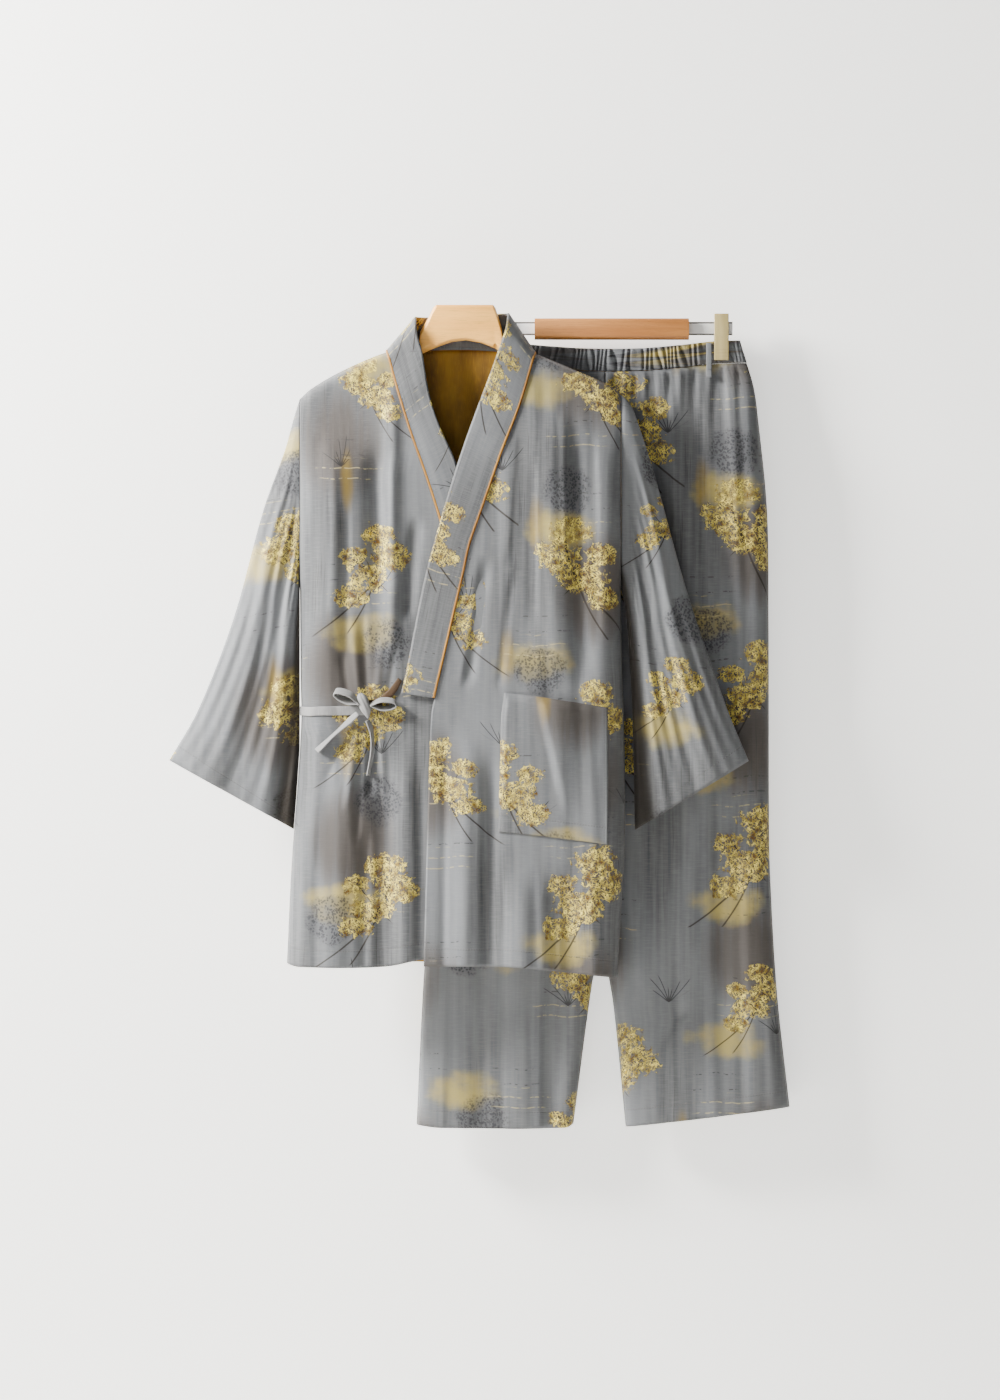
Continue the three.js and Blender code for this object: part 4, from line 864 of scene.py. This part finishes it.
# %% Sleeve tables and tubes
left_sleeve = (
    -1, curve([(-117.5, armhole_left), (-145, -215.8), (-180, -225.5), (-256, -252.8),
               (-391, -290), (-506, -334.5), (-569, -370.5)]), (-117.5, -569),
    curve([(underarm, armhole_left), (-384, -211.2), (-519, -213.3), (-655, -218)]),
    (underarm, -655))
right_sleeve = (
    1, curve([(-112.5, armhole_right), (-120, 202), (-131, 208.5), (-160, 218.8), (-219, 237.2),
              (-355, 275), (-498, 323.5), (-570, 353)]), (-112.5, -570),
    curve([(underarm, armhole_right), (-384, 198.8), (-444, 203.8), (-519, 207.5), (-656, 210.6)]),
    (underarm, -656))
sleeve_folds = [(0.35, 0.22, 3), (-0.05, 0.16, -2.5), (-0.4, 0.16, 2.5), (-0.74, 0.14, -4)]


def sleeve_place(sleeve):
    side, outer, outer_z, inner, inner_z = sleeve

    def place(u, v):
        top_z, foot_z = mix(*outer_z, v), mix(*inner_z, v)
        start = side * (0.3 + 0.2 * soft(v / 0.01))
        top = (outer(top_z) + start, top_z)
        foot = ((left_side(foot_z) if side < 0 else inner(foot_z)) + start, foot_z)
        angle = 2 * math.pi * (u + 0.5)
        share = math.cos(angle)
        face = 1 if math.sin(angle) > 0 else -1
        half = mix(15, 17, soft(v / 0.5))
        fold = sum(out * math.exp(-((share - at - 0.05 * math.sin(3 * v)) / width) ** 2)
                   for at, width, out in sleeve_folds)
        fine = 1.9 * math.sin(share * 13 + 4 * v + face) * math.sin(2.2 * v + share * 2)
        fine += 1.0 * math.sin(share * 29 - 6 * v + 2 * face) * math.sin(5 * v + 1)
        calm = soft(v / 0.3) * soft((1 - abs(share)) / 0.08)
        stand = oval_depth(half, share) + fold * soft(v / 0.3) + fine * calm
        x = mix(foot[0], top[0], (share + 1) / 2)
        z = mix(foot[1], top[1], (share + 1) / 2)
        x = max(x, armhole_right + 0.3) if side > 0 else min(x, armhole_left - 0.3)
        return Vector((x, face * stand + 3 * v, z))
    return place


def sleeve_map(sleeve):
    """Lays the print by the length round the tube, upright in front and mirrored behind."""
    _, outer, outer_z, inner, inner_z = sleeve

    def place(u, v, arc, drop):
        top = Vector((outer(mix(*outer_z, v)), mix(*outer_z, v)))
        foot = Vector((inner(mix(*inner_z, v)), mix(*inner_z, v)))
        up = (top - foot).normalized()
        half = (top - foot).length / 2
        run = arc - half - 8
        spot = (top + foot) / 2 + up * (run if u < 0.5 else 2 * half + 16 - run)
        return spot.x, spot.y
    return place


for name, node, sleeve, start in (("left_sleeve_cloth", "sleeve_left", left_sleeve, (130, 640)),
                                  ("right_sleeve_cloth", "sleeve_right", right_sleeve, (900, 700))):
    # The sleeves' inner edges lie beside the body, so painted shade runs along them
    tube = cloth_piece(name, sleeve_place(sleeve), 120, 90, node, closed=True, tucked_edge_shade=True,
                       map_place=sleeve_map(sleeve), print_at=start,
                       outward=lambda p: (0, p.y, 0))

# %% [markdown]
# ## Pocket, tie and bow
# The pocket is a patch that follows the right front. It gapes a little at its mouth, and a valley
# runs down it aslant. The tie is a narrow band sewn into the side seam. It meets the strap from
# the collar band's end in a bow. The two tails are ribbons that turn about their own line on the
# way down, and the two loops are bent round and tilted out of the cloth's plane.

# %% Patch pocket
def on_surface(place, u, v, distance):
    """A point that lies a distance in front of a surface."""
    step = 0.004
    along = place(min(u + step, 1), v) - place(max(u - step, 0), v)
    down = place(u, min(v + step, 1)) - place(u, max(v - step, 0))
    normal = along.cross(down).normalized()
    if normal.y > 0:
        normal = -normal
    return place(u, v) + normal * distance


def pocket_place(u, v):
    point = on_surface(over_front, mix(0.36, 0.91, u), mix(0.545, 0.777, v), 1.5)
    point.y -= 8 * math.sin(math.pi * u) ** 2 * (1 - v) ** 2
    valley = 0.3 + 0.32 * v
    before = 3.6 * soft(u / 0.05) * soft((valley - u) / valley)
    after = 5.5 * soft((u - valley) / 0.09) * soft((1 - u) / 0.55)
    point.y -= (before + after) * soft(v / 0.08) * soft((1 - v) / 0.6)
    return point


pocket = cloth_piece("patch_pocket", pocket_place, 64, 70, "pocket", print_at=(210, 900),
                     thick=1.0)

# %% Tie band at the side
def tie_place(u, v):
    point = on_surface(under_front, mix(0, 0.34, u), mix(0.545, 0.561, v), 1.7)
    point.y = min(point.y - 0.35 * math.sin(math.pi * v), -0.15)
    return point


tie = cloth_piece("side_tie", tie_place, 60, 8, "tie_band", [grey_tie], thick=1.2, hem=False,
                  print_at=(40, 40))

# %% Ribbons of the bow
knot_x, knot_z = -126, -501
knot_front = front_stand(knot_x, knot_z) + 7.6


def ribbon_piece(name, place, across, down, node, finish=grey_tie, **more):
    """A narrow band of cloth without a hem, its print laid along its own length."""
    return cloth_piece(name, place, across, down, node, [finish], thick=1.2, hem=False,
                       map_place=lambda u, v, arc, drop: (arc, -drop), **more)


def ribbon(points, width, clear, turn=lambda v: 0):
    """A ribbon along a line of places in front of the left front, turned about its own line."""
    last = len(points) - 1
    line_x, line_z = (curve([(k / last, p[axis]) for k, p in enumerate(points)]) for axis in (0, 1))
    line = lambda v: Vector((line_x(v), line_z(v)))

    def place(u, v):
        x, z = line(v)
        ahead = (line(min(v + 0.02, 1)) - line(max(v - 0.02, 0))).normalized()
        side = (u - 0.5) * width * mix(0.72, 1, soft(v / 0.3))
        depth = side * math.sin(turn(v))
        side *= math.cos(turn(v))
        px, pz = x - ahead.y * side, z + ahead.x * side
        stand = max(front_stand(px, pz), front_stand(x, z)) + clear(v) + 1.4
        return Vector((px, -stand - 0.5 * math.cos(math.pi * (u - 0.5)) - depth, pz))
    return place


tails = {
    "bow_tail_left": ([(-134.6, -510), (-148, -522), (-166, -538), (-186, -557)],
                      lambda v: mix(0.5, 1.15, soft(v / 0.6)) - 0.3 * soft((v - 0.7) / 0.3)),
    "bow_tail_right": ([(-122, -519), (-117, -533), (-116, -556), (-121, -588)],
                       lambda v: -mix(0.7, 1.2, soft(v / 0.5))),
}
for node, (points, turn) in tails.items():
    place = ribbon(points, 9.5, lambda v: mix(5.4, 4.2, v), turn)
    tail = ribbon_piece(node + "_ribbon", place, 8, 40, node)
place = ribbon([(-82, -468), (-92, -483), (-105, -494), (-120.9, -499)], 9,
               lambda v: mix(0.7, 2, v))
strap = ribbon_piece("tie_strap_ribbon", place, 8, 30, "tie_strap", shaded_tie_inside)

# %% Loops and knot
def loop_place(x, z, half_length, half_height, turn, tilt):
    """A ribbon bent round to both sides of the knot, pinched where it comes out of the knot."""
    def place(u, v):
        angle = 2 * math.pi * v
        a = half_length * math.cos(angle)
        open_share = soft((a * (1 if x > knot_x else -1) / half_length + 1) / 0.9)
        b = half_height * math.sin(angle) * mix(0.5, 1, open_share)
        back = (u - 0.5) * 14 * mix(0.7, 1, open_share)
        up = b * math.cos(tilt) + back * math.sin(tilt)
        return Vector((x + a * math.cos(turn) - up * math.sin(turn),
                       -knot_front - 1 + back * math.cos(tilt) - b * math.sin(tilt),
                       z + a * math.sin(turn) + up * math.cos(turn)))
    return place


for name, *shape in (("bow_loop_right", -102.5, -499, 16.5, 6.5, 0.03, 0.42),
                     ("bow_loop_left", -147.5, -490.5, 17.5, 6.2, -0.42, 0.55)):
    middle = Vector((shape[0], 0, shape[1]))
    ring = ribbon_piece(name + "_ribbon", loop_place(*shape), 10, 56, name, closed=True,
                        outward=lambda p, m=middle: (p.x - m.x, 0, p.z - m.z))


def knot_place(u, v):
    share = 2 * v - 1
    size = math.sqrt(max(1 - share ** 4, 0.03)) * mix(0.4, 1, soft((share + 1) / 0.9))
    angle = 2 * math.pi * u
    crease = 1 - 0.16 * math.exp(-((math.cos(angle) - 0.35 + 0.5 * share) / 0.13) ** 2)
    crease -= 0.1 * math.exp(-((math.cos(angle) + 0.45 + 0.3 * share) / 0.1) ** 2)
    return Vector((knot_x + 7.2 * size * math.cos(angle) - 4.5 * share,
                   -knot_front + 5.8 * size * crease * math.sin(angle), knot_z + 16 * share))


knot = ribbon_piece("bow_knot_cloth", knot_place, 36, 36, "bow_knot", closed=True,
                    outward=lambda p: (p.x - knot_x, p.y + knot_front, 0))

# %% [markdown]
# ## Trousers
# Each leg has a front and a back panel that meet at the side seam, and the two legs meet at the
# rise. Under the waist the cloth stands in soft pleats that fade out by the hip.

# %% Trouser tables
plane, crotch, waist_middle, rise_seam = 49.9, -356, 181.6, 175
band_height = 28
waist_top = curve([(18.6, -41.5), (42, -42.5), (92, -48), (150, -52), (215, -52), (266, -48),
                   (309, -43), (344.6, -41.5)])
waist_half = curve([(0, 163), (14, 166.5), (28, 171)])
waist_depth = curve([(0, 12), (0.45, 10.5), (0.76, 3.6), (0.92, 3.4), (1, 3)])
trouser_depth = curve([(-80, 18), (-330, 21), (-600, 20), (-1030, 17)])
legs = {
    "right": (1, curve([(-69, 352.6), (-101, 361.8), (-137, 366.9), (-256, 378.5), (-394, 380.4),
                        (-644, 381), (-716, 382.5), (-859, 390.8), (-1005, 406.8)]),
              curve([(crotch, 176.3), (-694, 172.6), (-800, 173.2), (-878, 185), (-1030, 200.5)]),
              curve([(200.5, -1030), (292, -1020), (406.8, -1005)]), (406.8, -1005), (200.5, -1030)),
    "left": (-1, curve([(-69, 10.6), (-101, 1), (-137, -4.4), (-256, -16.2), (-394, -21.9),
                        (-548, -30.6), (-694, -40), (-828, -52.5), (-1027.5, -62.5)]),
             curve([(crotch, 173.7), (-694, 170), (-800, 169.4), (-848, 158.8), (-1026, 135)]),
             curve([(-62.5, -1027.5), (-32, -1031), (125, -1031), (135, -1026)]),
             (-62.5, -1027.5), (135, -1026)),
}
trouser_folds = [
    (232, -150, 246, -800, 16, 16, -5.6), (276, -120, 284, -900, 20, 20, 5.6),
    (322, -200, 318, -1000, 14, 14, -4.2), (350, -700, 366, -1200, 18, 18, 4.2),
    (122, -150, 104, -1200, 16, 16, -5.6), (76, -120, 66, -1200, 20, 20, 5.6),
    (30, -300, 18, -1200, 14, 14, -4.2),
    # Finer creases
    (238, -100, 240, -330, 7, 4, -2.9), (258, -90, 262, -300, 4, 7, 2.6),
    (296, -100, 304, -420, 8, 4, -2.6), (336, -110, 344, -560, 5, 9, 2.4),
    (212, -560, 222, -900, 5, 9, 2.2), (262, -520, 268, -960, 9, 5, -2.6),
    (300, -480, 312, -1100, 6, 10, 2.4), (338, -520, 352, -1100, 8, 5, -2.7),
    (280, -870, 218, -970, 12, 6, -3.8), (372, -600, 388, -1100, 6, 6, 1.9),
    (-20, -500, -34, -1150, 8, 5, 2.2), (48, -700, 44, -1200, 9, 5, -2.6),
    (92, -650, 92, -1200, 5, 9, 2.2), (128, -700, 124, -1200, 8, 5, -2.4),
]


def trouser_stand(x, z, leg):
    side, outer_edge, inner_below = leg[:3]
    seam_x = rise_seam + side * 0.15
    drop = waist_top(x) - band_height - z
    top = waist_depth(min(abs(x - waist_middle) / waist_half(band_height), 1))
    full = mix(top, trouser_depth(z), soft(drop / 130))
    outer = abs(outer_edge(z) - x)
    inner = abs((seam_x if z > crotch else inner_below(z)) - x)
    seam = full * round_off((z - crotch) / 60) if z > crotch else 0
    inside = seam + (full - seam) * round_off(inner / 22)
    calm = soft(outer / 40) * soft(inner / 30 + (1 if z > crotch else 0))
    uneven = x + 5 * math.sin(x / 31) + 2.5 * math.sin(z / 60 + x / 17)
    pleat = 2.1 * math.cos(2 * math.pi * uneven / 25) * math.exp(-drop / 60)
    pleat += 1.5 * math.cos(2 * math.pi * uneven / 9.5 + 1) * math.exp(-drop / 34)
    folds = (fold_height(trouser_folds, x, z) + ripple(x + 90, z, 1.2)) * soft(drop / 60)
    pleats = soft(outer / 20) * soft(drop / 12) * pleat
    return round_off(outer / 22) * inside + calm * folds + pleats


# %% Four panels
def trouser_panel(leg, face):
    side, outer_edge, inner_below, hem, hem_outer, hem_inner = leg
    seam_x = rise_seam + side * 0.15
    top_line = lambda x: waist_top(x) - band_height - 0.6
    top_outer = waist_middle + side * waist_half(band_height)
    rise_share = 0.29

    def outer(v):
        z = mix(top_line(top_outer), hem_outer[1], v)
        return (top_outer if v == 0 else outer_edge(z)), z

    def inner(v):
        if v < rise_share:
            return seam_x, mix(top_line(seam_x), crotch, v / rise_share)
        z = mix(crotch, hem_inner[1], (v - rise_share) / (1 - rise_share))
        return (inner_below(z) if z < crotch else seam_x), z

    def depth(x, z):
        return plane + face * max(trouser_stand(x, z, leg), 0.15)

    return panel(outer, inner, at_x(top_line, top_outer, seam_x),
                 at_x(hem, hem_outer[0], hem_inner[0]), depth)


for side, leg in legs.items():
    for face, which, start in ((-1, "front", (430, 250)), (1, "back", (1700, 420))):
        name = f"trouser_{which}_{side}"
        part = cloth_piece(name + "_cloth", trouser_panel(leg, face), 64, 170, name,
                           print_at=(start[0] + (0 if side == "right" else 910), start[1]),
                           outward=(0, face, 0))

# %% [markdown]
# ## Gathered waist
# Elastic draws the waistband together into many narrow gathers with deep, sharp valleys. The band
# runs round a flat oval. The ring's line is worked out once by its length, so that the gathers
# come out evenly, and then each is made a little wider or narrower than the next.

# %% Waistband
def waist_ring(half):
    """A function from the share of a ring's length to a point of it and the outward direction."""
    fine = 720
    path = []
    for i in range(fine + 1):
        angle = 2 * math.pi * i / fine
        q = math.cos(angle)
        out = waist_depth(abs(q)) * min(1, abs(math.sin(angle)) * 4)
        path.append(Vector((half * q, math.copysign(out, math.sin(angle)) if 0 < i < fine else 0)))
    lengths = lengths_along(path)

    def at(share):
        target = lengths[-1] * (share % 1)
        low, high = 0, fine
        while high - low > 1:
            middle = (low + high) // 2
            low, high = (middle, high) if lengths[middle] <= target else (low, middle)
        place = path[low].lerp(path[high], (target - lengths[low]) / (lengths[high] - lengths[low]))
        along = (path[(low + 3) % fine] - path[(low - 3) % fine]).normalized()
        return place, Vector((along.y, -along.x))
    return at


gathers, ring_steps = 85, 14
rings = [waist_ring(waist_half(band_height * j / ring_steps)) for j in range(ring_steps + 1)]


def waist_place(u, v):
    drop = band_height * v
    place, out = rings[round(v * ring_steps)](u)
    q = abs(place.x) / waist_half(drop)
    pinch = 1 - 0.55 * soft((q - 0.7) / 0.1)
    round_band = 2 * math.pi * u
    phase = gathers * u + 0.7 * math.sin(7 * round_band) + 0.35 * math.sin(23 * round_band + 2 * v)
    wave = abs(math.sin(math.pi * phase)) ** 0.55 * 2 - 1.25
    channel = 1 - 0.35 * math.exp(-((drop - band_height / 2) / 2.2) ** 2)
    swell = mix(0.75, 1.15, math.sin(math.pi * v)) * channel
    wave *= 2.5 * swell * pinch * (0.85 + 0.3 * math.sin(31 * round_band))
    x = waist_middle + place.x + out.x * wave
    return Vector((x, plane + place.y + out.y * wave, waist_top(waist_middle + place.x) - drop))


waistband = cloth_piece("waistband_cloth", waist_place, gathers * 10, ring_steps, "waistband",
                        closed=True, print_at=(0, 1500), thick=0.9, hem=False, seams=(False, False),
                        outward=lambda p: (p.x - waist_middle, (p.y - plane) * 10, 0),
                        map_place=lambda u, v, arc, drop: (arc, -drop))

# %% Hanging loop at the waist
def loop_strap(u, v):
    z = curve([(0, -45), (0.38, -62), (0.8, -80), (1, -88.5)])(v)
    stand = waist_depth(0.72) + 2.8 + 3 * soft((v - 0.8) / 0.2)
    return Vector((305.2 + (u - 0.5) * 6.8, plane - stand - 0.3 * math.sin(math.pi * u), z))


loop = cloth_piece("waist_loop", loop_strap, 8, 30, "waist_strap", [cloth], thick=1.2, hem=False,
                   print_at=(330, 60))

# %% [markdown]
# ## Hangers
# The hangers are rigid and their CAD shapes are right, but their edges are sharp and faceted. A
# copy of each mesh is merged, and a bevel rounds its edges, which is enough for turned wood,
# pressed metal and moulded plastic. Grain runs along x on both wooden parts.

# %% Wood, metal and plastic
def solid_paint(name):
    """A paint laid by the place in the object, which has no UV map."""
    paint = Paint(name)
    place = paint.node("TexCoord", {}, "Object")
    return paint, place, paint.parts(place)


def wood(name, light, dark, coat):
    paint, _, spot = solid_paint(name)
    rings = paint.streaks(spot, (6, 60, 70), 4)
    grain = paint.streaks(spot, (30, 600, 700), 3)
    pores = paint.streaks(spot, (90, 1500, 1500), 1)
    paint.colour = paint.blend(rings.step(0.3, 0.72), light, dark)
    paint.lay(grain.step(0.45, 0.75) * 0.35, tuple(v * 0.72 for v in dark))
    paint.lay(pores.step(0.62, 0.7) * 0.3, tuple(v * 0.5 for v in dark))
    paint.bump(grain * 0.5 + pores * 0.5, 0.0002, 0.6)
    return paint.finish(Base_Color=paint.colour, Roughness=0.42 + grain * 0.16, Coat_Weight=coat,
                        Coat_Roughness=0.25)


def smooth_metal():
    """Bright sheet metal, with painted shade as a dark line along its upper and its lower edge."""
    paint, place, spot = solid_paint("bright_bar_metal")
    z = spot[2]
    brush = paint.streaks(spot, (25, 900, 900), 3)
    spots = paint.noise(place, 60, 3)
    paint.colour = paint.blend(spots.step(0.5, 0.8) * 0.15, (0.95, 0.955, 0.95), (0.80, 0.79, 0.77))
    # Painted shade: dark lines where the bar's upper and lower edges turn away from the light
    edge_shade_lines = z.step(-0.0208, -0.0198).math("MAXIMUM", z.step(-0.0326, -0.0334))
    paint.lay(edge_shade_lines * 0.92, (0.05, 0.045, 0.04))
    paint.bump(brush, 0.00008, 0.5)
    return paint.finish(Base_Color=paint.colour, Metallic=0.15, Roughness=0.34 + brush * 0.14)


def moulded_clip():
    """Beige plastic with fine ridges across the jaws."""
    paint, place, spot = solid_paint("beige_clip_plastic")
    z = spot[2]
    grain = paint.noise(place, 900, 2)
    haze = paint.streaks(spot, (90, 40, 12), 3)
    paint.colour = paint.blend(haze.step(0.3, 0.7), (0.36, 0.28, 0.11), (0.49, 0.40, 0.19))
    ridge = (z * 1500).math("SINE").step(0.2, 0.8) * z.step(-0.05, -0.052)
    paint.lay(ridge * 0.25, (0.30, 0.24, 0.12))
    paint.bump(grain * 0.4 + ridge, 0.0003, 0.6)
    return paint.finish(Base_Color=paint.colour, Roughness=0.38 + grain * 0.12, Coat_Weight=0.15)


# %% Rounded copies of the hanger parts
def rounded_copy(node, name, material, width):
    """A merged copy of a CAD mesh, with a bevel of a width in millimetres on its sharp edges."""
    bm = bmesh.new()
    bm.from_mesh(nodes[node].data)
    bmesh.ops.remove_doubles(bm, verts=bm.verts, dist=1e-5)
    bmesh.ops.dissolve_limit(bm, angle_limit=math.radians(1.5), verts=bm.verts, edges=bm.edges)
    sharp = [e for e in bm.edges if len(e.link_faces) == 2 and e.calc_face_angle() > math.radians(24)]
    bmesh.ops.bevel(bm, geom=sharp, offset=width * 0.001, segments=3, profile=0.5,
                    affect="EDGES", material=-1, clamp_overlap=True)
    for layer in list(bm.loops.layers.uv):
        bm.loops.layers.uv.remove(layer)
    piece = finish_piece(name, bm, [material], node)
    piece.data.set_sharp_from_angle(angle=math.radians(35))
    print(name, len(piece.data.polygons), "faces")


pale = wood("pale_beech", (1.0, 0.52, 0.11), (0.92, 0.42, 0.075), 0.12)
warm = wood("warm_alder", (0.52, 0.22, 0.055), (0.38, 0.14, 0.03), 0.12)
rounded_copy("jacket_hanger", "jacket_hanger_wood", pale, 0.9)
rounded_copy("hanger_grip", "trouser_hanger_grip", warm, 0.6)
rounded_copy("hanger_bar", "trouser_hanger_bar", smooth_metal(), 0.3)
clip_finish = moulded_clip()
for node in ("clip_left", "clip_right"):
    rounded_copy(node, node + "_moulding", clip_finish, 0.8)
